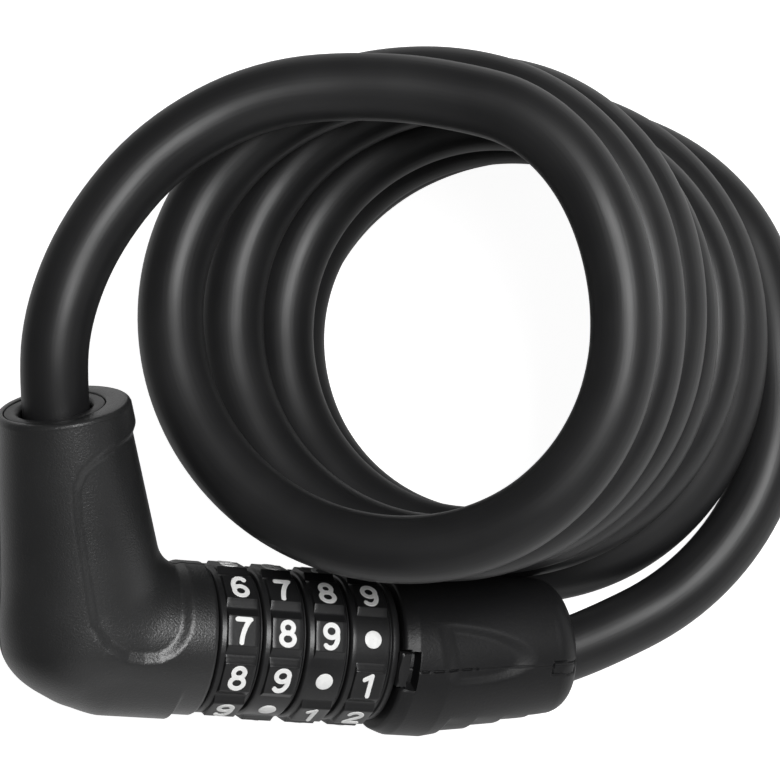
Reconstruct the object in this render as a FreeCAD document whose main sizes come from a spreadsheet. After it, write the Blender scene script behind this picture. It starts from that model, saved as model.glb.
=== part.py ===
import FreeCAD, Part
import math
import os

# Combination cable lock: a coiled cable from an elbow head to a plug, joined at a barrel with dials.
# Row frame: +Z up, origin at the middle of the cable's last turn, on the surface it rests on.
# Lock frame: origin where the arm's and the barrel's axes cross, +X along the barrel to the plug,
# +Y to the arm's side, +Z to the front, half way between the seams of the two elbow shells.

doc = FreeCAD.newDocument("cable_lock")
sheet = doc.addObject("Spreadsheet::Sheet", "Sizes")

DRIVING_SIZES = {
    # cable
    "cable_diameter": 12.0,
    "rope_diameter": 7.0,
    "cable_clearance": 0.3,
    "straight_exit": 12.0,
    "rest_cut": 0.5,
    # place and turn of the lock in the row frame
    "elbow_x": -69.3,
    "elbow_y": -62.4,
    "elbow_z": 70.0,
    "lock_yaw": 1.0,
    "lock_pitch": 34.6,
    "lock_roll": 25.4,
    # elbow and arm
    "arm_angle": 106.4,
    "arm_reach": 42.4,
    "arm_top_radius": 12.1,
    "arm_top_offset": 1.8,
    "arm_swell_radius": 15.0,
    "arm_swell_reach": 4.0,
    "arm_root_radius": 14.5,
    "arm_rim_round": 0.9,
    "elbow_radius": 14.3,
    "neck_radius": 14.0,
    "neck_end": 20.9,
    "panel_depth": 0.5,
    # insert ring in the arm's mouth
    "insert_radius": 9.0,
    "insert_depth": 3.0,
    "insert_sink": 0.15,
    # cable held in the arm
    "head_depth": 10.6,
    "ferrule_radius": 5.0,
    "head_ferrule_length": 15.0,
    "rope_grip": 9.0,
    "anchor_radius": 1.5,
    "anchor_offset": 3.5,
    "anchor_recess": 0.4,
    # metal core
    "core_radius": 5.6,
    "core_bore_radius": 3.5,
    "core_block_radius": 9.0,
    "core_block_start": -8.0,
    "core_block_end": 15.0,
    "boss_radius": 7.6,
    "nose_length": 5.0,
    "snug_fit": 0.05,
    "fit_clearance": 0.1,
    "running_clearance": 0.15,
    # dials and their code rings
    "dial_ring_radius": 13.4,
    "dial_width": 7.75,
    "dial_edge_bevel": 0.4,
    "dial_gap": 0.2,
    "pad_height": 0.6,
    "pad_width": 5.9,
    "pad_top_length": 5.8,
    "pad_foot_gap": 0.26,
    "pad_offset": 0.3,
    "blank_angle": 83.5,
    "washer_thickness": 0.25,
    "washer_radius": 12.6,
    "code_ring_radius": 9.9,
    "code_flange": 2.6,
    # teeth of the plug pin
    "tooth_reach": 7.0,
    "tooth_width": 2.2,
    "tooth_thickness": 2.0,
    "tooth_clearance": 0.3,
    "slot_run_in": 1.0,
    # detent leaf
    "leaf_width": 3.0,
    "leaf_thickness": 0.4,
    "leaf_top": 5.35,
    "leaf_bump_radius": 0.35,
    "leaf_margin": 1.0,
    # end collar and index key
    "collar_radius": 13.0,
    "collar_step_radius": 12.2,
    "collar_length": 1.8,
    "collar_step": 0.5,
    "key_length": 1.6,
    "key_width": 6.5,
    "key_offset": 0.65,
    "key_inner_radius": 12.2,
    "key_outer_radius": 14.2,
    "key_clearance": 0.3,
    "key_run": 1.55,
    # plug
    "plug_gap": 0.3,
    "plug_length": 31.6,
    "plug_lip_radius": 14.2,
    "plug_lip_length": 2.7,
    "plug_mouth_radius": 15.1,
    "plug_mouth_drop": 0.5,
    "plug_end_radius": 12.9,
    "plug_end_rise": 2.8,
    "plug_end_round": 5.1,
    "plug_end_tilt": 10.3,
    "plug_straight": 9.15,
    "parting_lift": 0.6,
    "parting_slope": 4.6,
    "exit_angle": 23.3,
    "exit_cross": 33.0,
    "plug_hold": 4.0,
    "pin_radius": 3.2,
    "pin_tip": 19.6,
    "pin_tip_clearance": 1.0,
    "pin_root_radius": 6.4,
    "pin_root_length": 13.0,
    "plug_ferrule_length": 6.5,
    "plug_ferrule_wall": 1.0,
    "cross_pin_radius": 1.25,
    "cross_pin_stand": 3.0,
    "seal_thickness": 2.0,
    "seal_lift": 0.2,
    "grip_start": 2.0,
    "grip_pitch": 6.0,
    "grip_depth": 0.9,
    "grip_width": 2.2,
}
DIAL_COUNT = 4
GRIP_COUNT = 4
POSITIONS_PER_DIAL = 10
# How much further than its wall a pad reaches into its ring
PAD_SINK = 0.06


def fill_sheet():
    for row, (alias, value) in enumerate(DRIVING_SIZES.items(), start=1):
        sheet.set(f"A{row}", alias)
        sheet.set(f"B{row}", str(value))
        sheet.setAlias(f"B{row}", alias)
    doc.recompute()


def size(alias):
    return float(sheet.get(alias))


fill_sheet()


def value(expression):
    """The number that a sheet expression gives."""
    probe = doc.addObject("App::FeaturePython", "probe")
    probe.addProperty("App::PropertyFloat", "Result")
    probe.setExpression("Result", expression)
    doc.recompute()
    result = probe.Result
    doc.removeObject(probe.Name)
    return result


# Names for lengths along the barrel, as sheet expressions
PITCH = "(Sizes.dial_width + Sizes.washer_thickness + 2 * Sizes.dial_gap)"
STACK_END = f"(Sizes.neck_end + {DIAL_COUNT} * {PITCH} + Sizes.washer_thickness)"
COLLAR_END = f"({STACK_END} + Sizes.collar_length)"
PLUG_START = f"({COLLAR_END} + Sizes.plug_gap)"
# Where the plug's end starts to round, and where the cable's line crosses the barrel's axis
PLUG_BACK = f"({PLUG_START} + Sizes.plug_length)"
CABLE_CROSS = f"({PLUG_START} + Sizes.exit_cross)"
NOSE_END = f"({COLLAR_END} + Sizes.nose_length)"
ROOT_START = f"({NOSE_END} + 2 * Sizes.plug_gap)"
CABLE_BORE = "(Sizes.cable_diameter / 2 + Sizes.cable_clearance)"
# Longer than the lock, for cuts that run right out of it
THROUGH = "150"

# Lays an upright cylinder along the barrel, its seam turned off the planes that split the housings
SEAM_TURN = FreeCAD.Rotation(FreeCAD.Vector(0, 0, 1), 40)
ALONG_X = FreeCAD.Rotation(FreeCAD.Vector(0, 1, 0), 90).multiply(SEAM_TURN)


def lock_placement():
    base = FreeCAD.Vector(size("elbow_x"), size("elbow_y"), size("elbow_z"))
    turn = FreeCAD.Rotation(size("lock_yaw"), size("lock_pitch"), size("lock_roll"))
    return FreeCAD.Placement(base, turn)


LOCK = lock_placement()


# Small builders: each binds a primitive's sizes to the sheet

def bind(piece, sizes):
    for name, expression in sizes.items():
        piece.setExpression(name, expression)
    return piece


def barrel_cylinder(name, radius, start, length):
    piece = doc.addObject("Part::Cylinder", name)
    piece.Placement = FreeCAD.Placement(FreeCAD.Vector(), ALONG_X)
    return bind(piece, {"Radius": radius, "Height": length, "Placement.Base.x": start})


def box(name, corner, lengths):
    piece = doc.addObject("Part::Box", name)
    sizes = {f"Placement.Base.{axis}": place for axis, place in zip("xyz", corner)}
    sizes.update(zip(("Length", "Width", "Height"), lengths))
    return bind(piece, sizes)


def arm_cylinder(name, radius, start, length):
    """A cylinder on the arm's axis, from a distance up the arm."""
    piece = doc.addObject("Part::Cylinder", name)
    piece.Placement = tilted(size("arm_angle"))
    return bind(piece, {
        "Radius": radius,
        "Height": length,
        "Placement.Base.x": f"({start}) * cos(Sizes.arm_angle * 1deg)",
        "Placement.Base.y": f"({start}) * sin(Sizes.arm_angle * 1deg)",
    })


def exit_cylinder(name, radius, start, length):
    """A cylinder on the cable's axis at the plug, from a distance beyond the barrel's axis."""
    piece = doc.addObject("Part::Cylinder", name)
    piece.Placement = tilted(size("exit_angle"))
    return bind(piece, {
        "Radius": radius,
        "Height": length,
        "Placement.Base.x": f"{CABLE_CROSS} + ({start}) * cos(Sizes.exit_angle * 1deg)",
        "Placement.Base.y": f"({start}) * sin(Sizes.exit_angle * 1deg)",
    })


def cross_cylinder(name, radius, x, y, half_length):
    piece = doc.addObject("Part::Cylinder", name)
    return bind(piece, {
        "Radius": radius,
        "Height": f"2 * ({half_length})",
        "Placement.Base.x": x,
        "Placement.Base.y": y,
        "Placement.Base.z": f"-({half_length})",
    })


def tilted(degrees):
    """Turns an upright cylinder into the lock's XY plane, at an angle from +X."""
    turn = FreeCAD.Rotation(FreeCAD.Vector(0, 0, 1), degrees)
    return FreeCAD.Placement(FreeCAD.Vector(), turn.multiply(ALONG_X))


def fuse(name, pieces):
    joined = doc.addObject("Part::MultiFuse", name)
    joined.Shapes = pieces
    joined.Refine = True
    return joined


def cut(name, base, tools):
    tool = tools[0]
    if len(tools) > 1:
        tool = fuse(name + "_tools", tools)
    piece = doc.addObject("Part::Cut", name)
    piece.Base = base
    piece.Tool = tool
    return piece


SUB_PARTS = []


def sub_part(piece, node, placement=LOCK):
    """Names a finished piece and puts it in its place; a bare primitive keeps its own placement."""
    if piece.isDerivedFrom("Part::Primitive"):
        carrier = doc.addObject("Part::Compound", node + "_carrier")
        carrier.Links = [piece]
        piece = carrier
    piece.Label = node
    piece.Placement = placement
    SUB_PARTS.append(piece)


# Half spaces as boxes wider than the lock, to split the housings
HALF = 200.0


def half_space(name, axis, side, lift=0.0):
    corner = [-HALF, -HALF, -HALF]
    if side > 0:
        corner["xyz".index(axis)] = lift
    else:
        corner["xyz".index(axis)] = lift - 2 * HALF
    piece = doc.addObject("Part::Box", name)
    piece.Length = piece.Width = piece.Height = 2 * HALF
    piece.Placement.Base = FreeCAD.Vector(*corner)
    return piece


# The path that the pin's teeth take, cut from all that they pass
def tooth_path(name, start, length):
    clear = "(Sizes.tooth_width + 2 * Sizes.tooth_clearance)"
    reach = "(Sizes.tooth_reach + Sizes.tooth_clearance)"
    return box(name, (start, f"-{clear} / 2", f"-{reach}"), (length, clear, reach))


# Elbow: a neck on the barrel's axis and a tapered arm, split into a front and a back shell

def in_arm(along, aside):
    """A point in the lock's XY plane by its distance up the arm and towards the barrel's side."""
    angle = math.radians(size("arm_angle"))
    return FreeCAD.Vector(along * math.cos(angle) + aside * math.sin(angle),
                          along * math.sin(angle) - aside * math.cos(angle), 0)


def arm_circle(name, along, radius):
    """A section of the arm, whose centre leans from its foot to its mouth."""
    circle = doc.addObject("Part::Circle", name)
    circle.Placement = tilted(size("arm_angle"))
    circle.Placement.Base = in_arm(along, size("arm_top_offset") * along / size("arm_reach"))
    circle.Radius = radius
    return circle


def rounded_end(reach, radius, round_radius, angles):
    """Places along and radii of the sections that round an end off, as straight bevels."""
    sections = []
    for degrees in angles:
        turn = math.radians(degrees)
        sections.append((reach + round_radius * math.sin(turn),
                         radius - round_radius * (1 - math.cos(turn))))
    return sections


ARM_RIM_ANGLES = [0, 30, 55, 75]


def elbow_body(name, inset=0.0):
    neck = barrel_cylinder(name + "_neck", f"Sizes.neck_radius - {inset}", "0", "Sizes.neck_end")
    corner = doc.addObject("Part::Sphere", name + "_corner")
    bind(corner, {"Radius": f"Sizes.elbow_radius - {inset}"})
    rim_round = size("arm_rim_round")
    sections = [(0.0, size("arm_root_radius")), (size("arm_swell_reach"), size("arm_swell_radius"))]
    sections += rounded_end(size("arm_reach") - rim_round, size("arm_top_radius"), rim_round,
                            ARM_RIM_ANGLES)
    arm = doc.addObject("Part::Loft", name + "_arm")
    arm.Sections = [arm_circle(f"{name}_arm_{number}", along, radius - inset)
                    for number, (along, radius) in enumerate(sections)]
    arm.Solid = True
    arm.Ruled = True
    return fuse(name, [neck, corner, arm])


# Corners of the sunk panel over the elbow's inner corner, first along its edge from the arm's
# mouth to the neck, then clear of the elbow
PANEL_CORNERS = [(4.8, 40.3), (-3.6, 36.5), (-6.5, 34.4), (-8.5, 32.2), (-9.3, 29.0), (-8.4, 24.3),
                 (-6.9, 19.1), (-4.0, 9.6), (-2.5, 5.0), (0.3, 1.8), (4.5, -0.2), (7.6, -0.4),
                 (10.5, 0.0), (13.8, 2.9), (15.1, 7.1), (15.3, 10.9), (15.7, 20.0), (22.0, 42.0)]


def sunk_panel():
    """What sinks the panel in front: a prism over the inner corner, down to the body under it."""
    outline = [FreeCAD.Vector(x, y, 0) for x, y in PANEL_CORNERS]
    prism = doc.addObject("Part::Feature", "panel_prism")
    face = Part.Face(Part.makePolygon(outline + outline[:1]))
    prism.Shape = face.extrude(FreeCAD.Vector(0, 0, 2 * size("elbow_radius")))
    return cut("sunk_panel", prism, [elbow_body("elbow_under_panel", size("panel_depth"))])


def elbow_hollows():
    """What the shells leave free inside: the core, the cable and the insert ring."""
    gap = "Sizes.fit_clearance"
    block_length = f"Sizes.core_block_end - Sizes.core_block_start + 2 * {gap}"
    return [
        barrel_cylinder("core_block_space", f"Sizes.core_block_radius + {gap}",
                        f"Sizes.core_block_start - {gap}", block_length),
        barrel_cylinder("core_space", f"Sizes.core_radius + {gap}", "0", THROUGH),
        arm_cylinder("boss_space", f"Sizes.boss_radius + {gap}", "0",
                     f"Sizes.arm_reach - Sizes.head_depth + {gap}"),
        arm_cylinder("cable_space", CABLE_BORE, "0", THROUGH),
        arm_cylinder("insert_space", f"Sizes.insert_radius + {gap}",
                     "Sizes.arm_reach - Sizes.insert_depth", THROUGH),
    ]


def build_elbow():
    hollow = cut("elbow_hollowed", elbow_body("elbow_outside"), elbow_hollows())
    half = cut("elbow_half", hollow, [half_space("behind_seam", "z", -1)])
    panel = sunk_panel()
    sub_part(cut("elbow_front", half, [panel]), "elbow_shell_front")
    mirrored = doc.addObject("Part::Mirroring", "elbow_mirrored")
    mirrored.Source = cut("elbow_to_mirror", half, [panel])
    mirrored.Normal = FreeCAD.Vector(0, 0, 1)
    back = doc.addObject("Part::Compound", "elbow_back")
    back.Links = [mirrored]
    sub_part(back, "elbow_shell_back")


def build_insert():
    ring = arm_cylinder("insert_disc", "Sizes.insert_radius",
                        "Sizes.arm_reach - Sizes.insert_depth",
                        "Sizes.insert_depth - Sizes.insert_sink")
    bore = arm_cylinder("insert_bore", CABLE_BORE, "0", THROUGH)
    sub_part(cut("insert_ring", ring, [bore]), "head_insert_ring")


# What holds the cable in the arm

def build_head_anchor():
    ferrule_top = "(Sizes.arm_reach - Sizes.head_depth)"
    ferrule_foot = f"({ferrule_top} - Sizes.head_ferrule_length)"
    pin_place = f"({ferrule_foot} + Sizes.anchor_offset)"
    barrel = arm_cylinder("head_ferrule_barrel", "Sizes.ferrule_radius", ferrule_foot,
                          "Sizes.head_ferrule_length")
    rope_space = arm_cylinder("head_rope_space", "Sizes.rope_diameter / 2 + Sizes.snug_fit",
                              f"{ferrule_top} - Sizes.rope_grip - Sizes.fit_clearance", THROUGH)
    pin_space = anchor_pin("head_pin_space", pin_place, "Sizes.snug_fit")
    sub_part(cut("head_ferrule_body", barrel, [rope_space, pin_space]), "head_ferrule")
    rope = arm_cylinder("head_rope", "Sizes.rope_diameter / 2",
                        f"{ferrule_top} - Sizes.rope_grip", "Sizes.rope_grip")
    sub_part(rope, "head_rope_end")
    sub_part(anchor_pin("anchor_pin_rod", pin_place, "0"), "head_anchor_pin")


def anchor_pin(name, place, oversize):
    x = f"{place} * cos(Sizes.arm_angle * 1deg)"
    y = f"{place} * sin(Sizes.arm_angle * 1deg)"
    half = "Sizes.boss_radius - Sizes.anchor_recess"
    if oversize != "0":
        half = "Sizes.boss_radius + Sizes.anchor_recess"
    return cross_cylinder(name, f"Sizes.anchor_radius + {oversize}", x, y, half)


# Core: a block and boss in the elbow and a slotted tube through the dials to a nose in the plug

def build_core():
    block = barrel_cylinder("core_block", "Sizes.core_block_radius", "Sizes.core_block_start",
                            "Sizes.core_block_end - Sizes.core_block_start")
    boss = arm_cylinder("core_boss", "Sizes.boss_radius", "0",
                        "Sizes.arm_reach - Sizes.head_depth")
    tube = barrel_cylinder("core_tube", "Sizes.core_radius", "0", NOSE_END)
    bore = barrel_cylinder("core_bore", "Sizes.core_bore_radius",
                           "Sizes.pin_tip - Sizes.pin_tip_clearance", THROUGH)
    ferrule_foot = "Sizes.arm_reach - Sizes.head_depth - Sizes.head_ferrule_length"
    socket = arm_cylinder("boss_socket", "Sizes.ferrule_radius + Sizes.snug_fit",
                          f"{ferrule_foot} - Sizes.fit_clearance", THROUGH)
    pin_space = anchor_pin("boss_pin_space", f"({ferrule_foot} + Sizes.anchor_offset)",
                           "Sizes.snug_fit")
    slot = tooth_path("core_slot", "Sizes.neck_end - Sizes.slot_run_in", THROUGH)
    leaf_seat = leaf_box("leaf_seat", "Sizes.fit_clearance", "Sizes.core_radius")
    whole = fuse("core_whole", [block, boss, tube])
    core = cut("core_body", whole, [bore, socket, pin_space, slot, leaf_seat])
    sub_part(core, "lock_core")


def leaf_box(name, gap, height):
    length = f"{DIAL_COUNT} * {PITCH} - 2 * Sizes.leaf_margin"
    corner = (f"Sizes.neck_end + Sizes.leaf_margin - {gap}", f"-Sizes.leaf_width / 2 - {gap}",
              f"Sizes.leaf_top - Sizes.leaf_thickness - {gap} / 2")
    return box(name, corner, (f"{length} + 2 * {gap}", f"Sizes.leaf_width + 2 * {gap}", height))


def dial_start(number):
    """Where a dial's left face lies; dials are numbered from 0 at the neck."""
    first = "Sizes.neck_end + Sizes.washer_thickness + Sizes.dial_gap"
    return f"({first} + {number} * {PITCH})"


def build_detent_leaf():
    strip = leaf_box("leaf_strip", "0", "Sizes.leaf_thickness")
    bumps = []
    for number in range(DIAL_COUNT):
        bump = doc.addObject("Part::Cylinder", f"leaf_bump_{number + 1}")
        bump.Placement = FreeCAD.Placement(
            FreeCAD.Vector(), FreeCAD.Rotation(FreeCAD.Vector(1, 0, 0), 90))
        bind(bump, {
            "Radius": "Sizes.leaf_bump_radius",
            "Height": "Sizes.leaf_width",
            "Placement.Base.x": f"{dial_start(number)} + Sizes.dial_width / 2",
            "Placement.Base.y": "Sizes.leaf_width / 2",
            "Placement.Base.z": "Sizes.leaf_top - Sizes.leaf_thickness + Sizes.leaf_bump_radius",
        })
        bumps.append(bump)
    sub_part(fuse("detent_leaf_body", [strip] + bumps), "detent_leaf")


# Dials: a bevelled ring that carries a raised flat pad for each digit, over a code ring with its
# gate. The tenth place has no pad: there the ring's own round face shows, and takes a dot.

def dial_pads(number):
    """The raised pads round a dial, as prisms with sloping ends that reach a little into the ring."""
    radius = size("dial_ring_radius")
    step = 360.0 / POSITIONS_PER_DIAL
    margin = (size("dial_width") - size("pad_width")) / 2 + size("pad_offset")
    start = value(dial_start(number)) + margin
    foot_angle = math.radians(step / 2) - size("pad_foot_gap") / 2 / radius
    corner = FreeCAD.Vector(start, size("pad_top_length") / 2, radius + size("pad_height"))
    foot = FreeCAD.Vector(start, radius * math.sin(foot_angle), radius * math.cos(foot_angle))
    below = foot + (foot - corner) * PAD_SINK
    root = foot * ((size("code_ring_radius") + size("fit_clearance") + radius) / 2 / radius)
    root.x = start
    side = [corner, below, root]
    mirrored = [FreeCAD.Vector(point.x, -point.y, point.z) for point in reversed(side)]
    outline = side + mirrored
    pads = []
    for place in range(1, POSITIONS_PER_DIAL):
        pad = Part.Face(Part.makePolygon(outline + outline[:1]))
        pad = pad.extrude(FreeCAD.Vector(size("pad_width"), 0, 0))
        pad.rotate(FreeCAD.Vector(), FreeCAD.Vector(1, 0, 0), blank_angle(number) + place * step)
        pads.append(pad)
    carrier = doc.addObject("Part::Feature", f"dial_pads_{number + 1}")
    carrier.Shape = Part.makeCompound(pads)
    return carrier


def blank_angle(number):
    """Where a dial's bare place stands, about +X from +Z; each dial is one digit behind the last."""
    return size("blank_angle") - number * 360.0 / POSITIONS_PER_DIAL


def build_dial(number):
    ring = doc.addObject("Part::Cylinder", f"dial_ring_{number + 1}")
    ring.Placement = FreeCAD.Placement(FreeCAD.Vector(), ALONG_X)
    bind(ring, {"Radius": "Sizes.dial_ring_radius", "Height": "Sizes.dial_width",
                "Placement.Base.x": dial_start(number)})
    doc.recompute()
    rims = [n for n, edge in enumerate(ring.Shape.Edges, start=1) if edge.Closed]
    bevelled = doc.addObject("Part::Chamfer", f"dial_bevelled_{number + 1}")
    bevelled.Base = ring
    bevelled.Edges = [(n, size("dial_edge_bevel"), size("dial_edge_bevel")) for n in rims]
    padded = fuse(f"dial_padded_{number + 1}", [bevelled, dial_pads(number)])
    bore = barrel_cylinder(f"dial_bore_{number + 1}",
                           "Sizes.code_ring_radius + Sizes.fit_clearance", "0", THROUGH)
    sub_part(cut(f"dial_body_{number + 1}", padded, [bore]), f"dial_{number + 1}")


def build_code_ring(number):
    start = dial_start(number)
    disc = barrel_cylinder(f"code_disc_{number + 1}", "Sizes.code_ring_radius", start,
                           "Sizes.dial_width")
    bore = barrel_cylinder(f"code_bore_{number + 1}",
                           "Sizes.core_radius + Sizes.running_clearance", "0", THROUGH)
    chamber = barrel_cylinder(f"code_chamber_{number + 1}",
                              "Sizes.tooth_reach + Sizes.tooth_clearance", start,
                              "Sizes.dial_width - Sizes.code_flange")
    gate = tooth_path(f"code_gate_{number + 1}", start, THROUGH)
    ring = cut(f"code_ring_body_{number + 1}", disc, [bore, chamber, gate])
    sub_part(ring, f"code_ring_{number + 1}")


def build_washers():
    """One thin washer before each dial and one after the last, all in one node."""
    discs = []
    for number in range(DIAL_COUNT + 1):
        discs.append(barrel_cylinder(f"washer_{number + 1}", "Sizes.washer_radius",
                                     f"Sizes.neck_end + {number} * {PITCH}",
                                     "Sizes.washer_thickness"))
    bore = barrel_cylinder("washer_bore", "Sizes.core_radius + Sizes.snug_fit", "0", THROUGH)
    washers = cut("washer_set", fuse("washer_discs", discs),
                  [bore, tooth_path("washer_slot", "0", THROUGH)])
    sub_part(washers, "dial_washers")


# End collar, index key and the seal at the plug's mouth

def build_collar():
    low = barrel_cylinder("collar_low", "Sizes.collar_radius", STACK_END,
                          "Sizes.collar_length - Sizes.collar_step")
    high = barrel_cylinder("collar_high", "Sizes.collar_step_radius", STACK_END,
                           "Sizes.collar_length")
    bore = barrel_cylinder("collar_bore", "Sizes.core_radius + Sizes.snug_fit", "0", THROUGH)
    collar = cut("collar_body", fuse("collar_steps", [low, high]),
                 [bore, tooth_path("collar_slot", "0", THROUGH)])
    sub_part(collar, "end_collar")


def key_box(name, gap, outer_radius, run):
    corner = (f"{COLLAR_END} - Sizes.collar_step",
              f"Sizes.key_offset - Sizes.key_width / 2 - {gap}",
              f"Sizes.key_inner_radius - {gap}")
    height = f"{outer_radius} - Sizes.key_inner_radius + {gap}"
    length = f"Sizes.key_length + Sizes.collar_step + {run}"
    return box(name, corner, (length, f"Sizes.key_width + 2 * {gap}", height))


def build_index_key():
    sub_part(key_box("index_key_block", "0", "Sizes.key_outer_radius", "0"), "index_key")


def seal_cylinder(name, gap, start):
    """The seal's outside, or with a gap the seat that it is pressed into."""
    radius = f"Sizes.core_radius + Sizes.seal_lift + Sizes.seal_thickness + {gap}"
    end = f"{PLUG_START} + Sizes.seal_thickness + {gap}"
    return barrel_cylinder(name, radius, start, f"{end} - {start}")


def build_seal():
    outer = seal_cylinder("seal_outer", "0", PLUG_START)
    inner = barrel_cylinder("seal_inner", "Sizes.core_radius + Sizes.seal_lift", "0", THROUGH)
    sub_part(cut("seal_ring", outer, [inner]), "dust_seal")


# Plug: two shells over a toothed pin and the ferrule that grips the cable

def plug_circle(name, x, y, radius, degrees=0.0):
    circle = doc.addObject("Part::Circle", name)
    circle.Placement = tilted(degrees)
    return bind(circle, {"Radius": radius, "Placement.Base.x": x, "Placement.Base.y": y})


PLUG_END_ANGLES = [0, 30, 52, 70]


def plug_body():
    sections = [
        plug_circle("plug_lip", PLUG_START, "-Sizes.plug_mouth_drop", "Sizes.plug_lip_radius"),
        plug_circle("plug_mouth", f"{PLUG_START} + Sizes.plug_lip_length",
                    "-Sizes.plug_mouth_drop", "Sizes.plug_mouth_radius"),
        plug_circle("plug_waist", f"{PLUG_START} + Sizes.plug_straight",
                    "-Sizes.plug_mouth_drop", "Sizes.plug_mouth_radius"),
    ]
    tilt = size("plug_end_tilt")
    end = rounded_end(0.0, size("plug_end_radius"), size("plug_end_round"), PLUG_END_ANGLES)
    for number, (beyond, radius) in enumerate(end):
        x = f"{PLUG_BACK} + {beyond} * cos(Sizes.plug_end_tilt * 1deg)"
        y = f"Sizes.plug_end_rise + {beyond} * sin(Sizes.plug_end_tilt * 1deg)"
        sections.append(plug_circle(f"plug_end_{number}", x, y, str(radius), tilt))
    loft = doc.addObject("Part::Loft", "plug_loft")
    loft.Sections = sections
    loft.Solid = True
    loft.Ruled = True
    return loft


def plug_hollows():
    gap = "Sizes.fit_clearance"
    nose = barrel_cylinder("nose_socket", "Sizes.core_radius + Sizes.plug_gap", "0", ROOT_START)
    teeth = tooth_path("plug_tooth_space", PLUG_START, f"{ROOT_START} - {PLUG_START}")
    root = barrel_cylinder("root_space", f"Sizes.pin_root_radius + {gap}", ROOT_START,
                           f"Sizes.pin_root_length + {gap}")
    ferrule = exit_cylinder("plug_ferrule_space", f"Sizes.ferrule_radius + {gap}",
                            f"-Sizes.plug_hold - Sizes.plug_ferrule_length - {gap}",
                            f"Sizes.plug_ferrule_length + {gap}")
    cable = exit_cylinder("plug_cable_space", CABLE_BORE, "-Sizes.plug_hold", THROUGH)
    seal = seal_cylinder("seal_space", "Sizes.snug_fit", STACK_END)
    pin = cross_pin("plug_pin_space", "Sizes.snug_fit")
    notch = key_box("key_notch", "Sizes.key_clearance", "2 * Sizes.plug_mouth_radius",
                    "Sizes.key_run")
    return [nose, teeth, root, ferrule, cable, seal, pin, notch]


def cross_pin(name, oversize):
    x = f"{ROOT_START} + Sizes.pin_root_length / 2"
    half = f"Sizes.pin_root_radius + Sizes.cross_pin_stand + {oversize}"
    return cross_cylinder(name, f"Sizes.cross_pin_radius + {oversize}", x, "0", half)


def grip_grooves():
    """Finger grooves across the plug's underside."""
    grooves = []
    for number in range(GRIP_COUNT):
        along = f"(Sizes.grip_start + {number} * Sizes.grip_pitch)"
        place = f"{PLUG_START} + Sizes.plug_straight + {along}"
        bottom = "(Sizes.plug_mouth_radius + Sizes.plug_mouth_drop)"
        slope = f"({bottom} - Sizes.plug_end_radius + Sizes.plug_end_rise)"
        run = "(Sizes.plug_length - Sizes.plug_straight)"
        drop = f"{bottom} - {along} * {slope} / {run}"
        grooves.append(cross_cylinder(f"grip_groove_{number + 1}", "Sizes.grip_width / 2", place,
                                      f"-({drop}) - Sizes.grip_width / 2 + Sizes.grip_depth",
                                      "Sizes.plug_mouth_radius"))
    return grooves


def parting(name, side):
    """The half space on one side of the plane that parts the plug's shells, which rises a little
    towards the cable."""
    space = half_space(name, "y", side)
    turn = FreeCAD.Rotation(FreeCAD.Vector(0, 0, 1), size("parting_slope"))
    foot = FreeCAD.Vector(value(PLUG_START), size("parting_lift"), 0)
    space.Placement = FreeCAD.Placement(foot, turn).multiply(space.Placement)
    return space


def build_plug_shells():
    body = plug_body()
    hollows = fuse("plug_hollows", plug_hollows())
    upper = cut("plug_upper_solid", body, [parting("under_parting", -1)])
    sub_part(cut("plug_upper", upper, [hollows]), "plug_shell_upper")
    lower = cut("plug_lower_solid", body, [parting("over_parting", +1)])
    grooved = cut("plug_lower_grooved", lower, grip_grooves())
    sub_part(cut("plug_lower", grooved, [hollows]), "plug_shell_lower")


def build_plug_pin():
    shank = barrel_cylinder("pin_shank", "Sizes.pin_radius", "Sizes.pin_tip",
                            f"{ROOT_START} - Sizes.pin_tip + Sizes.pin_root_length / 2")
    root = barrel_cylinder("pin_root", "Sizes.pin_root_radius", ROOT_START,
                           "Sizes.pin_root_length")
    teeth = []
    for number in range(DIAL_COUNT):
        flange_start = f"{dial_start(number)} + Sizes.dial_width - Sizes.code_flange"
        place = f"{flange_start} - Sizes.tooth_clearance - Sizes.tooth_thickness"
        teeth.append(box(f"pin_tooth_{number + 1}",
                         (place, "-Sizes.tooth_width / 2", "-Sizes.tooth_reach"),
                         ("Sizes.tooth_thickness", "Sizes.tooth_width", "Sizes.tooth_reach")))
    whole = fuse("pin_whole", [shank, root] + teeth)
    sub_part(cut("pin_body", whole, [cross_pin("pin_cross_hole", "Sizes.snug_fit")]), "plug_pin")
    sub_part(cross_pin("cross_pin_body", "0"), "plug_cross_pin")


def build_plug_ferrule():
    length = "Sizes.plug_ferrule_length"
    start = f"-Sizes.plug_hold - {length}"
    barrel = exit_cylinder("plug_ferrule_barrel", "Sizes.ferrule_radius", start, length)
    wall = "Sizes.plug_ferrule_wall"
    space = exit_cylinder("plug_rope_space", "Sizes.rope_diameter / 2 + Sizes.snug_fit",
                          f"{start} + {wall}", length)
    sub_part(cut("plug_ferrule_body", barrel, [space]), "plug_ferrule")
    rope = exit_cylinder("plug_rope", "Sizes.rope_diameter / 2",
                         f"{start} + {wall} + Sizes.fit_clearance",
                         f"{length} - {wall} - Sizes.fit_clearance")
    sub_part(rope, "plug_rope_end")


# Cable: one unbroken tube, hand-wound, seen from above with the turns going clockwise.
# How far its centre line stands from the row's Z axis as it passes each side, first turn first.
BACK_REACH = [28.5, 36.0, 39.0, 37.0, 38.0, 45.0, 47.0]
RIGHT_REACH = [29.0, 32.5, 35.0, 35.5, 39.0, 42.0, 47.5]
FRONT_REACH = [48.5, 46.5, 43.0, 41.2, 39.7, 42.0]
LEFT_REACH = [55.0, 47.0, 40.5, 41.5, 49.5, 49.5]
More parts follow.
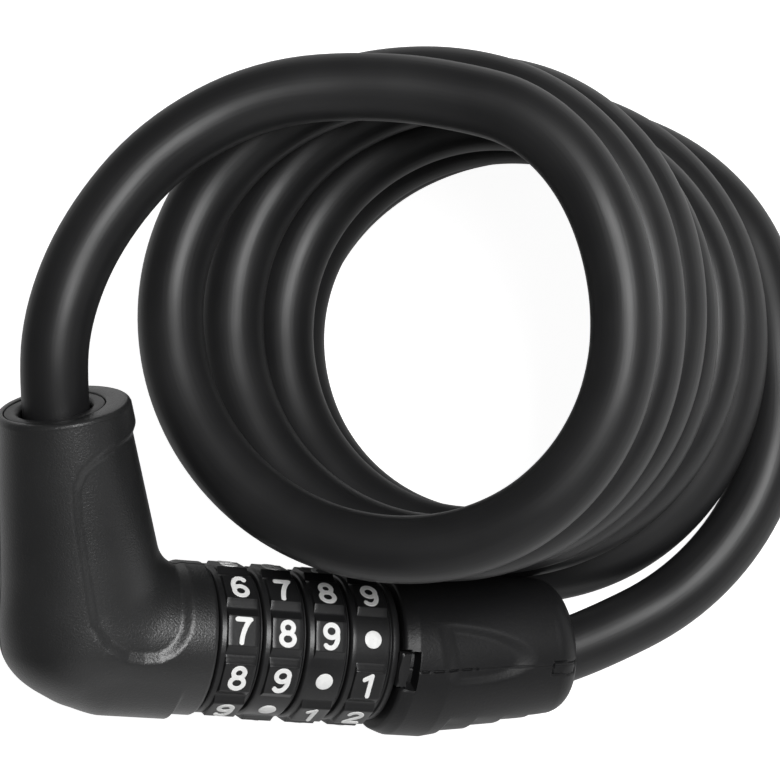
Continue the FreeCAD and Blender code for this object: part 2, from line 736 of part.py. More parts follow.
# How the coil's axis drifts with each turn, and where it starts
DRIFT_X = (0.9, -1.2)
DRIFT_Y = (1.2, -1.3)
# Heights: the first turn's, the pitch, how far a turn leans each way, and the first turn's rise
FIRST_HEIGHT = 87.7
TURN_PITCH = 12.9
LEAN_BY_SINE = 2.9
LEAN_BY_COSINE = -3.5
FIRST_RISE = 2.4
FIRST_RISE_OVER = 0.4
SETTLE_FROM = 5.5
SETTLE_OVER = 0.5
# From the arm to the first turn, and from the last turn to the plug
LEAD_POINTS = [(-63.5, 1.5, 96.8), (-38.0, 27.3, 93.4)]
TAIL_POINTS = [(43.8, -28.5, 5.8)]
FIRST_QUARTER = 0.25


def centre_height(turn):
    """Height of the centre line: steady turns that lean a little, and a last turn that lies flat."""
    phase = 2 * math.pi * turn
    stacked = FIRST_HEIGHT - TURN_PITCH * turn
    stacked += LEAN_BY_SINE * math.sin(phase) + LEAN_BY_COSINE * math.cos(phase)
    stacked += FIRST_RISE * math.exp((FIRST_QUARTER - turn) / FIRST_RISE_OVER)
    lying = size("cable_diameter") / 2 - size("rest_cut")
    settled = min(max((turn - SETTLE_FROM) / SETTLE_OVER, 0.0), 1.0)
    return stacked + (lying - stacked) * (1 - (1 - settled) ** 2)


def quarter_point(quarter):
    """The centre line's point at a quarter turn, counted from the first turn's back."""
    turn = FIRST_QUARTER + quarter / 4
    whole, side = divmod(quarter, 4)
    drift_x = DRIFT_X[0] * turn + DRIFT_X[1]
    drift_y = DRIFT_Y[0] * turn + DRIFT_Y[1]
    height = centre_height(turn)
    if side == 0:
        return FreeCAD.Vector(drift_x, BACK_REACH[whole], height)
    if side == 1:
        return FreeCAD.Vector(RIGHT_REACH[whole], drift_y, height)
    if side == 2:
        return FreeCAD.Vector(drift_x, -FRONT_REACH[whole], height)
    return FreeCAD.Vector(-LEFT_REACH[whole], drift_y, height)


def in_lock(x, y):
    return LOCK.multVec(FreeCAD.Vector(x, y, 0))


def lock_direction(degrees):
    angle = math.radians(degrees)
    return LOCK.Rotation.multVec(FreeCAD.Vector(math.cos(angle), math.sin(angle), 0))


def cable_stations():
    """Points and directions that the cable runs through, from the arm to the plug."""
    up = lock_direction(size("arm_angle"))
    out = lock_direction(size("exit_angle"))
    mouth = LOCK.Base + up * size("arm_reach")
    cross = in_lock(value(CABLE_CROSS), 0)
    straight = size("straight_exit")
    start = mouth - up * size("head_depth")
    end = cross - out * size("plug_hold")
    knots = [quarter_point(quarter) for quarter in range(2 + 4 * (len(BACK_REACH) - 1))]
    lead = [FreeCAD.Vector(*point) for point in LEAD_POINTS]
    tail = [FreeCAD.Vector(*point) for point in TAIL_POINTS]
    inner = lead + knots + tail
    first = start + up * straight
    last = cross + out * straight
    route = [first] + inner + [last]
    stations = [(start, up), (first, up)]
    for before, point, after in zip(route, inner, route[2:]):
        way = through(before, point, after)
        if point.z < size("cable_diameter") / 2:
            way = FreeCAD.Vector(way.x, way.y, 0).normalize()
        stations.append((point, way))
    stations.append((last, out * -1))
    stations.append((end, out * -1))
    return stations


def through(before, point, after):
    """Direction at a point of the circle through three points."""
    first = point - before
    second = after - point
    direction = first * (second.Length / first.Length) + second * (first.Length / second.Length)
    return direction.normalize()


def arc_between(start, direction, end):
    """The arc that leaves a point in a direction and reaches another point."""
    chord = end - start
    along = FreeCAD.Vector(chord).normalize()
    aside = direction - along * direction.dot(along)
    if aside.Length < 1e-9:
        return Part.LineSegment(start, end), None
    angle = math.acos(max(-1.0, min(1.0, direction.dot(along))))
    middle = (start + end) * 0.5 + aside.normalize() * (chord.Length / 2 * math.tan(angle / 2))
    arc = Part.Arc(start, middle, end)
    return arc, chord.Length / (2 * math.sin(angle))


def biarc(start, start_way, end, end_way):
    """Two arcs that join two points with given directions."""
    step = end - start
    ways = start_way + end_way
    spread = 2 * (1 - start_way.dot(end_way))
    reach = step.dot(ways)
    if spread < 1e-9:
        length = step.dot(step) / (2 * reach)
    else:
        length = (-reach + math.sqrt(reach * reach + spread * step.dot(step))) / spread
    joint = (start + end + (start_way - end_way) * length) * 0.5
    first, first_radius = arc_between(start, start_way, joint)
    back, back_radius = arc_between(end, end_way * -1, joint)
    second = Part.Arc(joint, back.value((back.FirstParameter + back.LastParameter) / 2), end)
    return [first, second], [first_radius, back_radius]


def cable_path():
    stations = cable_stations()
    curves = [Part.LineSegment(stations[0][0], stations[1][0])]
    radii = []
    for (start, start_way), (end, end_way) in zip(stations[1:-2], stations[2:-1]):
        arcs, arc_radii = biarc(start, start_way, end, end_way)
        curves += arcs
        radii += arc_radii
    curves.append(Part.LineSegment(stations[-2][0], stations[-1][0]))
    print("cable radii from", round(min(radii), 1), "to", round(max(radii), 1), "mm")
    return Part.Wire([curve.toShape() for curve in curves])


def least_gap(wire):
    """The least distance between the surfaces of different stretches of the cable."""
    spacing = 2.0
    points = [point for edge in wire.OrderedEdges
              for point in edge.discretize(max(2, int(edge.Length / spacing) + 1))[:-1]]
    apart = int(1.5 * math.pi * size("cable_diameter") / spacing)
    least = min(points[i].distanceToPoint(points[j])
                for i in range(len(points)) for j in range(i + apart, len(points)))
    return least - size("cable_diameter")


def build_cable():
    path = cable_path()
    edge = path.OrderedEdges[0]
    start = edge.valueAt(edge.FirstParameter)
    way = edge.tangentAt(edge.FirstParameter)
    profile = Part.Wire(Part.makeCircle(size("cable_diameter") / 2, start, way))
    tube = path.makePipeShell([profile], True, False)
    section = math.pi * size("cable_diameter") ** 2 / 4
    print("cable length", round(path.Length, 1), "mm, volume over section times length",
          round(tube.Volume / (section * path.Length), 4))
    print("least gap between turns", round(least_gap(path), 2), "mm")
    whole = doc.addObject("Part::Feature", "cable_tube")
    whole.Shape = tube
    standing = cut("cable_on_floor", whole, [half_space("below_floor", "z", -1)])
    sub_part(standing, "cable_coil", FreeCAD.Placement())


def check_and_write():
    doc.recompute()
    for piece in doc.Objects:
        if "Invalid" in piece.State or "Error" in piece.State:
            raise RuntimeError(f"{piece.Name} failed: {piece.State}")
    for piece in SUB_PARTS:
        if piece.Shape.isNull() or not piece.Shape.isValid() or not piece.Shape.Solids:
            raise RuntimeError(f"{piece.Label} has no valid solid")
    os.makedirs("parts", exist_ok=True)
    for piece in SUB_PARTS:
        piece.Shape.exportStep(f"parts/{piece.Label}.step")
        print(piece.Label, "solids", len(piece.Shape.Solids),
              "volume", round(piece.Shape.Volume, 1))


build_elbow()
build_insert()
build_head_anchor()
build_core()
build_detent_leaf()
for dial_number in range(DIAL_COUNT):
    build_dial(dial_number)
    build_code_ring(dial_number)
build_washers()
build_collar()
build_index_key()
build_seal()
build_plug_shells()
build_plug_pin()
build_plug_ferrule()
build_cable()
check_and_write()
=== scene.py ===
import bpy
import numpy as np
from mathutils import Matrix


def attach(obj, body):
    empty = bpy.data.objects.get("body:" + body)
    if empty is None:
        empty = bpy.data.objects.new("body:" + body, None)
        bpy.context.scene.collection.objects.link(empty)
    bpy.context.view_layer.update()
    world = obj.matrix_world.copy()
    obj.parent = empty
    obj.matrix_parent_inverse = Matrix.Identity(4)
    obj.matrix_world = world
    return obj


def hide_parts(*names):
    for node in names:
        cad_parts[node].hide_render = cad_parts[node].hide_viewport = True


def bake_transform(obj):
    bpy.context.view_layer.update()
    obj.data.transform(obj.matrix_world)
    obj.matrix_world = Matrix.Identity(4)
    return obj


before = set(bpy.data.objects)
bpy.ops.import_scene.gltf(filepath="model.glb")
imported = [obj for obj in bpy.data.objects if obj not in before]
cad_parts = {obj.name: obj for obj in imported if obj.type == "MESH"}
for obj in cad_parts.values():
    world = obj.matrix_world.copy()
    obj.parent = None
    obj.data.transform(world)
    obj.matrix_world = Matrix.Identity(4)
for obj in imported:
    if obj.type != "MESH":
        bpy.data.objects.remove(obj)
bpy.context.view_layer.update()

# The cable
# Braided steel rope inside a smooth black vinyl jacket, 12 mm across, sold wound in a tall
# coil that springs back to this shape. It starts inside the lock's arm and ends in the plug.

CABLE_WIDTH = 12.0
COIL_STEPS = 24
COIL_TURNS = 6.25
# How far the coil stands from the row's upright axis as it passes each side, top turn first
BACK_REACH = [28.5, 36.0, 39.0, 37.0, 38.0, 45.0, 47.0]
RIGHT_REACH = [29.0, 32.5, 35.0, 35.5, 39.0, 42.0, 47.5]
FRONT_REACH = [48.5, 46.5, 43.0, 41.2, 39.7, 42.0]
LEFT_REACH = [55.0, 47.0, 40.5, 41.5, 49.5, 49.5]
# That axis stands here at the start, and drifts by this much each turn
AXIS_X, AXIS_Y, DRIFT_X, DRIFT_Y = -1.2, -1.3, 0.9, 1.2
# Where the height starts, how far it falls each turn, and how the turns rise to the back and right
COIL_TOP, COIL_PITCH, RISE_BACK, RISE_RIGHT = 87.7, 12.9, 2.9, 3.5
# The first turn is lifted by this, which dies away over this share of a turn
FIRST_LIFT, LIFT_TURNS = 2.4, 0.4
# From this turn the cable settles in half a turn to the height at which it lies on the floor
SETTLE_TURN, LYING_HEIGHT = 5.5, 5.5
# Held straight in the arm, then round the back of the coil to its first turn
LEAD = [(-69.741, -34.846, 85.869), (-69.908, -24.449, 91.858), (-68.7, -10.9, 96.4),
        (-62.5, 4.8, 97.2), (-50.7, 20.2, 95.5), (-33.0, 30.3, 92.7), (-11.8, 31.4, 90.6)]
# From the last turn on the floor, up into the plug
TAIL = [(48.9, -0.3, 5.5), (48.4, -19.0, 5.4), (41.3, -35.1, 5.7), (29.7, -48.0, 8.4),
        (14.801, -56.644, 14.395), (4.65, -61.109, 18.978),
        (1.264, -62.598, 20.507)]


def coil_points():
    """Each point stands at its turn's reach from a slowly drifting axis. The reach goes smoothly
    through four values a turn, and the height falls by the pitch and leans from side to side."""
    turn = 0.25 + np.arange(int(COIL_TURNS * COIL_STEPS) + 1) / COIL_STEPS
    axis_x, axis_y = DRIFT_X * turn + AXIS_X, DRIFT_Y * turn + AXIS_Y
    quarter = np.arange(26)
    at = 0.25 + quarter / 4
    lap, side = quarter // 4, quarter % 4
    reaches = np.zeros((4, 7))
    for row, reach in enumerate((BACK_REACH, RIGHT_REACH, FRONT_REACH, LEFT_REACH)):
        reaches[row, :len(reach)] = reach
    at_x, at_y = DRIFT_X * at + AXIS_X, DRIFT_Y * at + AXIS_Y
    reach = reaches[side, lap] + np.choose(side, [-at_y, -at_x, at_y, at_x])
    reach = np.concatenate(([2 * reach[0] - reach[1]], reach, [2 * reach[-1] - reach[-2]]))
    place = 4 * (turn - 0.25)
    low = np.minimum(np.floor(place + 1e-9).astype(int), 24)
    part = place - low
    a, b, c, d = reach[low], reach[low + 1], reach[low + 2], reach[low + 3]
    curve = 2 * a - 5 * b + 4 * c - d + part * (3 * (b - c) + d - a)
    out = b + 0.5 * part * (c - a + part * curve)
    out /= np.cos(np.pi / COIL_STEPS)
    phase = 2 * np.pi * turn
    height = COIL_TOP - COIL_PITCH * turn + RISE_BACK * np.sin(phase) - RISE_RIGHT * np.cos(phase)
    height += FIRST_LIFT * np.exp((0.25 - turn) / LIFT_TURNS)
    settled = np.clip((turn - SETTLE_TURN) / 0.5, 0, 1)
    height += (LYING_HEIGHT - height) * (1 - (1 - settled) ** 2)
    return np.stack([axis_x - out * np.cos(phase), axis_y + out * np.sin(phase), height], axis=1)


def spline_points(points):
    """The points that Blender gives along a NURBS curve through these control points."""
    curve = bpy.data.curves.new("cable_line", "CURVE")
    curve.dimensions = "3D"
    curve.resolution_u = 8
    line = curve.splines.new("NURBS")
    line.points.add(len(points) - 1)
    line.points.foreach_set("co", np.column_stack([points, np.ones(len(points))]).ravel())
    line.order_u = 3
    line.use_endpoint_u = True
    holder = bpy.data.objects.new("cable_line", curve)
    mesh = bpy.data.meshes.new_from_object(holder)
    found = np.zeros(3 * len(mesh.vertices))
    mesh.vertices.foreach_get("co", found)
    bpy.data.objects.remove(holder)
    bpy.data.meshes.remove(mesh)
    return found.reshape(-1, 3)


def new_piece(name, points, faces, uv=None):
    """A mesh object from vertices in millimetres and quads, with smooth faces and sharp edges
    kept where faces meet at over 35 degrees."""
    mesh = bpy.data.meshes.new(name)
    mesh.from_pydata((points * 0.001).tolist(), [], faces.tolist())
    if uv is not None:
        loops = np.zeros(len(mesh.loops), int)
        mesh.loops.foreach_get("vertex_index", loops)
        layer = mesh.uv_layers.new(name="along")
        layer.data.foreach_set("uv", uv(loops).ravel())
    mesh.shade_smooth()
    mesh.set_sharp_from_angle(angle=np.radians(35))
    mesh.validate()
    piece = bpy.data.objects.new(name, mesh)
    bpy.context.scene.collection.objects.link(piece)
    return piece


def grid_faces(rows, columns, wrap_rows=False, wrap_columns=False):
    """Quads between neighbouring rows and columns of a grid of vertices."""
    number = np.arange(rows * columns).reshape(rows, columns)
    if wrap_rows:
        number = np.vstack([number, number[:1]])
    if wrap_columns:
        number = np.hstack([number, number[:, :1]])
    corners = (number[:-1, :-1], number[1:, :-1], number[1:, 1:], number[:-1, 1:])
    return np.stack([corner.ravel() for corner in corners], axis=1)


def tube(line, radius, around):
    """A circle carried along a line: each ring stands square to the line, turned by the line's
    own level side direction, and both ends are closed by a disc that shrinks to its centre."""
    way = np.gradient(line, axis=0)
    way /= np.linalg.norm(way, axis=1)[:, None]
    side = np.cross(way, (0, 0, 1))
    side /= np.linalg.norm(side, axis=1)[:, None]
    up = np.cross(side, way)
    centre = np.concatenate([line[:1], line[:1], line, line[-1:], line[-1:]])
    side, up = (np.concatenate([v[:1], v[:1], v, v[-1:], v[-1:]]) for v in (side, up))
    reach = np.full(len(centre), radius)
    reach[[0, -1]] = 0.02
    reach[[1, -2]] = 0.9 * radius
    angle = np.arange(around) * 2 * np.pi / around
    ring = reach[:, None, None] * (np.cos(angle)[None, :, None] * side[:, None]
                                   + np.sin(angle)[None, :, None] * up[:, None])
    return centre[:, None] + ring


class Socket:
    """A socket of a material's nodes that takes part in arithmetic, each step a Math node. With no
    link it stands for the nodes as a whole, to add the first one."""

    def __init__(self, tree, link):
        self.tree, self.link = tree, link

    def node(self, kind, settings, sockets, output=0):
        """Adds a node, sets its settings and then its sockets, and gives one of its outputs."""
        made = self.tree.nodes.new(kind)
        for name, setting in settings.items():
            setattr(made, name, setting)
        for name, given in sockets.items():
            if isinstance(given, Socket):
                self.tree.links.new(given.link, made.inputs[name])
            else:
                made.inputs[name].default_value = given
        return Socket(self.tree, made.outputs[output])

    def maths(self, operation, *terms):
        return self.node("ShaderNodeMath", {"operation": operation}, dict(enumerate(terms)))

    def __add__(self, other):
        return self.maths("ADD", self, other)

    def __mul__(self, other):
        return self.maths("MULTIPLY", self, other)

    __radd__ = __add__
    __rmul__ = __mul__

    def between(self, low, high):
        """0 below low, 1 above high, and a smooth step from one to the other."""
        return self.node("ShaderNodeMapRange", {"interpolation_type": "SMOOTHSTEP"},
                         {"Value": self, "From Min": low, "From Max": high})

    def part(self, axis):
        return self.node("ShaderNodeSeparateXYZ", {}, {0: self}, output="XYZ".index(axis))

    def noise(self, per_metre, detail=2.0, roughness=0.5):
        """Soft blotches from 0 to 1, so many to a metre."""
        return self.node("ShaderNodeTexNoise", {}, {"Vector": self, "Scale": per_metre,
                                                    "Detail": detail, "Roughness": roughness})

    def stretched(self, x, y, z):
        """A place with each axis scaled, so that a pattern on it is drawn out."""
        return self.node("ShaderNodeVectorMath", {"operation": "MULTIPLY"}, {0: self, 1: (x, y, z)})

    def colours(self, low, high):
        """One colour at 0 and another at 1."""
        return self.node("ShaderNodeMix", {"data_type": "RGBA"},
                         {0: self, 6: (*low, 1), 7: (*high, 1)}, output=2)

    def bump(self, depth):
        """A normal that stands up by this many metres where the value is 1."""
        return self.node("ShaderNodeBump", {}, {"Strength": 1.0, "Distance": depth, "Height": self})


def new_finish(name, colour, roughness, **constants):
    """A material with a plain surface, its shader's sockets by name, and a place on the piece."""
    material = bpy.data.materials.new(name)
    material.use_nodes = True
    shader = material.node_tree.nodes["Principled BSDF"]
    shader.inputs["Base Color"].default_value = (*colour, 1)
    shader.inputs["Roughness"].default_value = roughness
    for socket, constant in constants.items():
        shader.inputs[socket.replace("_", " ")].default_value = constant
    tree = Socket(material.node_tree, None)
    return material, shader.inputs, tree.node("ShaderNodeTexCoord", {}, {}, output="Object")


def put(value, socket):
    """Links a value to a socket of the shader."""
    value.tree.links.new(value.link, socket)


# One turn of the rope's strands, in metres, which shows faintly through the jacket
STRAND_PITCH = 0.021


def jacket_finish():
    """Smooth vinyl drawn over a twisted rope: faint slanting ripples, fine draw lines, and soft
    patches where handling has polished it."""
    material, surface, place = new_finish("cable_jacket_finish", (0.013, 0.013, 0.0135), 0.38,
                                          Specular_IOR_Level=0.4)
    along = place.node("ShaderNodeUVMap", {"uv_map": "along"}, {})
    length, turn = along.part("X"), along.part("Y")
    angle = turn * (2 * np.pi)
    radius = CABLE_WIDTH / 2000
    aside, above = angle.maths("COSINE", angle) * radius, angle.maths("SINE", angle) * radius
    round_place = place.node("ShaderNodeCombineXYZ", {}, {"X": length, "Y": aside, "Z": above})
    draw_lines = round_place.stretched(0.04, 1, 1).noise(1500, detail=3.0)
    strand = length * (2 * np.pi / STRAND_PITCH) + angle
    ripple = strand.maths("SINE", strand)
    waver = round_place.noise(55, detail=1.0)
    patches = place.noise(38, detail=3.0)
    put(patches.between(0.3, 0.75).colours((0.009, 0.009, 0.0095), (0.015, 0.015, 0.0155)),
        surface["Base Color"])
    put(0.33 + 0.12 * patches + 0.07 * draw_lines, surface["Roughness"])
    put((0.35 * ripple * waver + waver * 1.5 + draw_lines * 0.12).bump(0.00022), surface["Normal"])
    return material


control = np.concatenate([LEAD, coil_points()[1:-1], TAIL])
cable_line = spline_points(control)
rings = tube(cable_line, CABLE_WIDTH / 2, 30)
rings[:, :, 2] = np.maximum(rings[:, :, 2], 0.0)
ring_count, around = rings.shape[:2]
run = np.concatenate([[0], np.cumsum(np.linalg.norm(np.diff(cable_line, axis=0), axis=1))]) * 0.001
run = np.concatenate([[0, 0], run, [run[-1], run[-1]]])


def jacket_uv(loops):
    """Length along the cable in metres, and the share of a turn round it. The last column of
    faces runs on to a whole turn."""
    row, column = loops // around, loops % around
    quads = column.reshape(-1, 4)
    last = (quads.max(axis=1) == around - 1) & (quads.min(axis=1) == 0)
    quads = np.where(last[:, None] & (quads == 0), around, quads)
    return np.stack([run[row], quads.ravel() / around], axis=1)


cable = new_piece("cable_jacket", rings.reshape(-1, 3),
                  grid_faces(ring_count, around, wrap_columns=True), jacket_uv)
cable.data.materials.append(jacket_finish())
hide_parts("cable_coil")

# The elbow
# Two shells of black glass-filled nylon with a fine sand-blasted grain, split front and back and
# closed round the metal core. The neck stands against the dials and the arm takes the cable.

LOCK_PLACE = np.array((-69.3, -62.4, 70.0))
ARM_ANGLE = np.radians(106.4)
ARM_WAY = np.array((np.cos(ARM_ANGLE), np.sin(ARM_ANGLE), 0.0))
ARM_SIDE = np.array((ARM_WAY[1], -ARM_WAY[0], 0.0))
ARM_REACH = 42.4
# Half width and half depth of the arm's oval section at its root, and what they lose a millimetre
ARM_WIDTH, ARM_NARROWING = 16.2, 0.101
ARM_DEPTH, ARM_THINNING = 14.0, 1.9 / ARM_REACH
# How far the arm's middle stands towards the barrel at its root, and what it gains a millimetre
ARM_STAND, ARM_LEAN = 1.07, 0.014
# The arm's foot is drawn in over this length, and its ball is flatter than a round one
FOOT_LENGTH, FOOT_DRAW, BALL_FLATNESS = 8.0, 0.5, 1.35
NECK_START, NECK_END, NECK_RADIUS = 1.0, 20.9, 14.0
# The neck's fuller underside: how much it stands out, and where it ends
UNDER_RISE, UNDER_END = 0.95, 15.9
# The round between arm and neck where they face alike, and what is added where they face apart
BLEND, BLEND_APART = 0.8, 5.0
RIM_ROUND = 0.9
# The neck's edge is rounded off over this length, to this depth
NECK_EDGE, NECK_ROUND = 0.45, 0.4
# The shell's wall, and the depth of the groove that its seam makes
SHELL_WALL, SHELL_SEAM = 2.3, 0.16
# The elbow's surface is nowhere further than this from its section's centre
WIDEST = 22.5
# The seat of the insert ring, from the rim's flat lip: how far down the arm, and how wide
INSERT_SEAT = [(0.0, 9.34), (0.07, 9.2), (0.2, 9.12), (3.0, 9.1), (3.0, 9.4), (3.6, 9.4)]


def quarter_turns(yaw, pitch, roll):
    """The turn of the lock: rolled about X, pitched about Y, then yawed about Z."""
    about = {}
    for axis, degrees in (("Z", yaw), ("Y", pitch), ("X", roll)):
        about[axis] = np.array(Matrix.Rotation(np.radians(degrees), 3, axis))
    return about["Z"] @ about["Y"] @ about["X"]


LOCK_TURN = quarter_turns(1.0, 34.6, 25.4)


def in_row(points):
    """Points of the lock, whose barrel lies along its own X axis, set in the row frame."""
    return LOCK_PLACE + points @ LOCK_TURN.T


def step(value, low, high):
    """0 below low, 1 above high, and a smooth step from one to the other."""
    share = np.clip((value - low) / (high - low), 0, 1)
    return share * share * (3 - 2 * share)


def arm_section(along):
    """The arm's half width across the bend, how far its centre stands towards the barrel, and its
    half depth, at a distance up the arm."""
    foot = np.clip(1 - along / FOOT_LENGTH, 0, 1) ** 2
    width = ARM_WIDTH - ARM_NARROWING * along - FOOT_DRAW * foot
    return width, ARM_STAND + ARM_LEAN * along, ARM_DEPTH - ARM_THINNING * along


def elbow_depth(points):
    """Distance outside the elbow, below 0 inside. The neck is a round bar, a little fuller
    underneath, and the arm a bar of oval section that ends in a flattened ball below the neck.
    They flow together most where they face away from each other."""
    along = np.clip(points[..., 0], NECK_START, NECK_END + 5)
    from_neck = points - along[..., None] * (1, 0, 0)
    neck = np.linalg.norm(from_neck, axis=-1)
    under = step(-from_neck[..., 1] / (neck + 1e-9), 0.35, 0.9) * step(points[..., 0], -2, 4)
    under = under * (1 - step(points[..., 0], UNDER_END, UNDER_END + 0.6))
    height = points @ ARM_WAY
    up = np.clip(height, 0, ARM_REACH)
    width, lean, half_depth = arm_section(up)
    aside = points @ ARM_SIDE - lean
    below = (height - up) * np.where(height < 0, BALL_FLATNESS, 1)
    arm = np.sqrt(aside ** 2 + below ** 2 + (points[..., 2] * width / half_depth) ** 2)
    apart = 1 - (points[..., 1] * (aside * ARM_SIDE[1] + below * ARM_WAY[1])
                 + points[..., 2] ** 2) / (neck * arm + 1e-9)
    blend = BLEND + BLEND_APART * np.clip(apart, 0, 1)
    neck, arm = neck - NECK_RADIUS - UNDER_RISE * under, arm - width
    share = np.clip(0.5 + 0.5 * (arm - neck) / blend, 0, 1)
    return arm * (1 - share) + neck * share - blend * share * (1 - share)


def reach_out(centres, ways, depth, limit):
    """How far each ray goes from its centre to where the depth is 0, by halving the span."""
    low, high = np.zeros(ways.shape[:-1]), np.full(ways.shape[:-1], limit)
    for _ in range(26):
        middle = (low + high) / 2
        outside = depth(centres + middle[..., None] * ways) > 0
        high = np.where(outside, middle, high)
        low = np.where(outside, low, middle)
    return (low + high) / 2


def inside_outline(x, y, outline):
    """Distance from an outline's nearest side, above 0 inside it: a point is inside where a line
    from it crosses the outline an odd number of times."""
    best, inside = np.full(x.shape, 1e9), np.zeros(x.shape, bool)
    for (x0, y0), (x1, y1) in zip(outline, outline[1:] + outline[:1]):
        run_x, run_y = x1 - x0, y1 - y0
        share = np.clip(((x - x0) * run_x + (y - y0) * run_y) / (run_x ** 2 + run_y ** 2), 0, 1)
        best = np.minimum(best, np.hypot(x - x0 - share * run_x, y - y0 - share * run_y))
        inside ^= ((y0 > y) != (y1 > y)) & (x - x0 < run_x * (y - y0) / (run_y + 1e-12))
    return np.where(inside, best, -best)


# The edge of the sunk panel, from the arm's mouth round the inside of the bend to the neck. The
# last point closes it away from the elbow.
PANEL_EDGE = [(4.8, 40.3), (-3.6, 36.5), (-6.5, 34.4), (-8.5, 32.2), (-9.3, 29.0), (-8.4, 24.3),
              (-6.9, 19.1), (-5.5, 14.4), (-4.0, 9.6), (-2.5, 5.0), (0.3, 1.8), (4.5, -0.2),
              (7.6, -0.4), (10.5, 0.01), (12.4, 1.2), (13.8, 2.9), (14.8, 5.0), (15.1, 7.1),
              (15.3, 10.9), (15.7, 20.0), (40.0, 60.0)]
PANEL_DEPTH, PANEL_SLOPE = 0.9, 1.2


def sunk_panel(x, y):
    """How deep the panel lies: flat inside its edge, with one even slope up to the elbow's face."""
    return PANEL_DEPTH * step(inside_outline(x, y, PANEL_EDGE), -PANEL_SLOPE, PANEL_SLOPE)


def elbow_rows():
    """Section centres and their two directions, one to the inside of the bend and one to the
    front. They go straight along the neck, fan round a point inside the bend, and up the arm."""
    fan_x, fan_y, fan_start, fan_end = 14.74, 19.0, 19.0, 19.5
    neck = NECK_END - np.concatenate([[0, 0.05, 0.2, 0.45], np.linspace(0.8, NECK_END - fan_x, 20)])
    spread = np.linspace(0, 1, 92)[1:-1]
    swing = np.radians(-90) + spread * (ARM_ANGLE - np.pi)
    distance = fan_start + spread * (fan_end - fan_start)
    foot = fan_x * ARM_WAY[0] + fan_y * ARM_WAY[1]
    arm = np.linspace(foot, ARM_REACH - RIM_ROUND, 76)
    zero = np.zeros
    centres = np.concatenate([
        np.stack([neck, zero(len(neck)), zero(len(neck))], axis=1),
        np.stack([fan_x + distance * np.cos(swing), fan_y + distance * np.sin(swing),
                  zero(len(swing))], axis=1),
        arm[:, None] * ARM_WAY])
    inward = np.concatenate([
        np.tile((0.0, 1.0, 0.0), (len(neck), 1)),
        np.stack([-np.cos(swing), -np.sin(swing), zero(len(swing))], axis=1),
        np.tile(ARM_SIDE, (len(arm), 1))])
    return centres, inward


def shell_angles(count):
    """Angles from seam to seam over half a turn, closer together at the seams."""
    even = np.linspace(0, np.pi, count)
    near = np.array([0, 0.006, 0.013, 0.02, 0.03])
    return np.unique(np.concatenate([even[2:-2], near, np.pi - near]))


def close_shell(loop, side):
    """A grid whose rows run round a shell's wall, out and back, and whose columns run from seam to
    seam. The seam faces are a ladder between the outer rows and the inner ones."""
    rows, columns = loop.shape[:2]
    faces = grid_faces(rows, columns, wrap_rows=True)
    first, last = np.arange(rows // 2 - 1), rows - 1 - np.arange(rows // 2 - 1)
    ladder = np.stack([first, first + 1, last - 1, last], axis=1) * columns
    faces = np.concatenate([faces, ladder[:, ::-1], ladder + columns - 1])
    return faces if side > 0 else faces[:, ::-1]


def mouth_rows(top, angle):
    """Rows over the arm's rim: round its edge, whose circle leans off the arm's axis, over the flat
    lip and down the seat of the insert ring, which stands on the axis."""
    radius, lean = arm_section(ARM_REACH)[:2]
    rows = []
    for turn in np.radians([15, 30, 45, 60, 75]):
        along = ARM_REACH - RIM_ROUND * (1 - np.sin(turn))
        drawn = radius - RIM_ROUND * (1 - np.cos(turn))
        reach = lean * np.cos(angle) + np.sqrt(drawn ** 2 - (lean * np.sin(angle)) ** 2)
        rows.append(along * ARM_WAY + reach[:, None] * top)
    for down, reach in INSERT_SEAT:
        rows.append((ARM_REACH - down) * ARM_WAY + reach * top)
    return np.stack(rows)


def elbow_shell(name, side, columns):
    """One shell: rays from each section's centre meet the elbow's surface. The panel, the seam's
    small bevel and the rounded neck edge are taken off their length. The wall turns over the
    mouth and comes back inside."""
    centres, inward = elbow_rows()
    angle = shell_angles(columns)
    ways = (np.cos(angle)[None, :, None] * inward[:, None]
            + side * np.sin(angle)[None, :, None] * np.array((0.0, 0.0, 1.0)))
    origin = centres[:, None]
    outer = reach_out(np.broadcast_to(origin, ways.shape), ways, elbow_depth, WIDEST)
    surface = origin + outer[..., None] * ways
    inner = outer - SHELL_WALL
    outer = outer - sunk_panel(surface[..., 0], surface[..., 1])
    outer -= SHELL_SEAM * (1 - step(np.minimum(angle, np.pi - angle), 0.004, 0.022))[None]
    from_edge = np.where(np.arange(len(centres)) < 5, (NECK_END - centres[:, 0]) / NECK_EDGE, 1)
    outer -= NECK_ROUND * (1 - np.clip(from_edge, 0, 1) ** 0.5)[:, None]
    wall_out, wall_in = origin + outer[..., None] * ways, origin + inner[..., None] * ways
    loop = np.concatenate([wall_out, mouth_rows(ways[-1], angle), wall_in[-9::-1]])
    return new_piece(name, in_row(loop.reshape(-1, 3)), close_shell(loop, side))


def moulded_finish(name, colour, roughness, grain, depth, specular=0.4):
    """Black moulded nylon: a fine even grain from the blasted mould, slow changes of gloss, and
    here and there a lighter rubbed speck."""
    material, surface, place = new_finish(name, colour, roughness, Specular_IOR_Level=specular)
    pits = place.noise(grain, detail=3.0, roughness=0.6)
    slow = place.noise(90, detail=3.0)
    specks = place.noise(1700, detail=1.0).between(0.62, 0.72)
    worn = (0.35 * specks + 0.5 * slow)
    put(worn.colours(tuple(0.85 * c for c in colour), tuple(1.7 * c for c in colour)),
        surface["Base Color"])
    put(roughness - 0.05 + 0.12 * slow, surface["Roughness"])
    put((pits + 0.4 * slow).bump(depth), surface["Normal"])
    return material


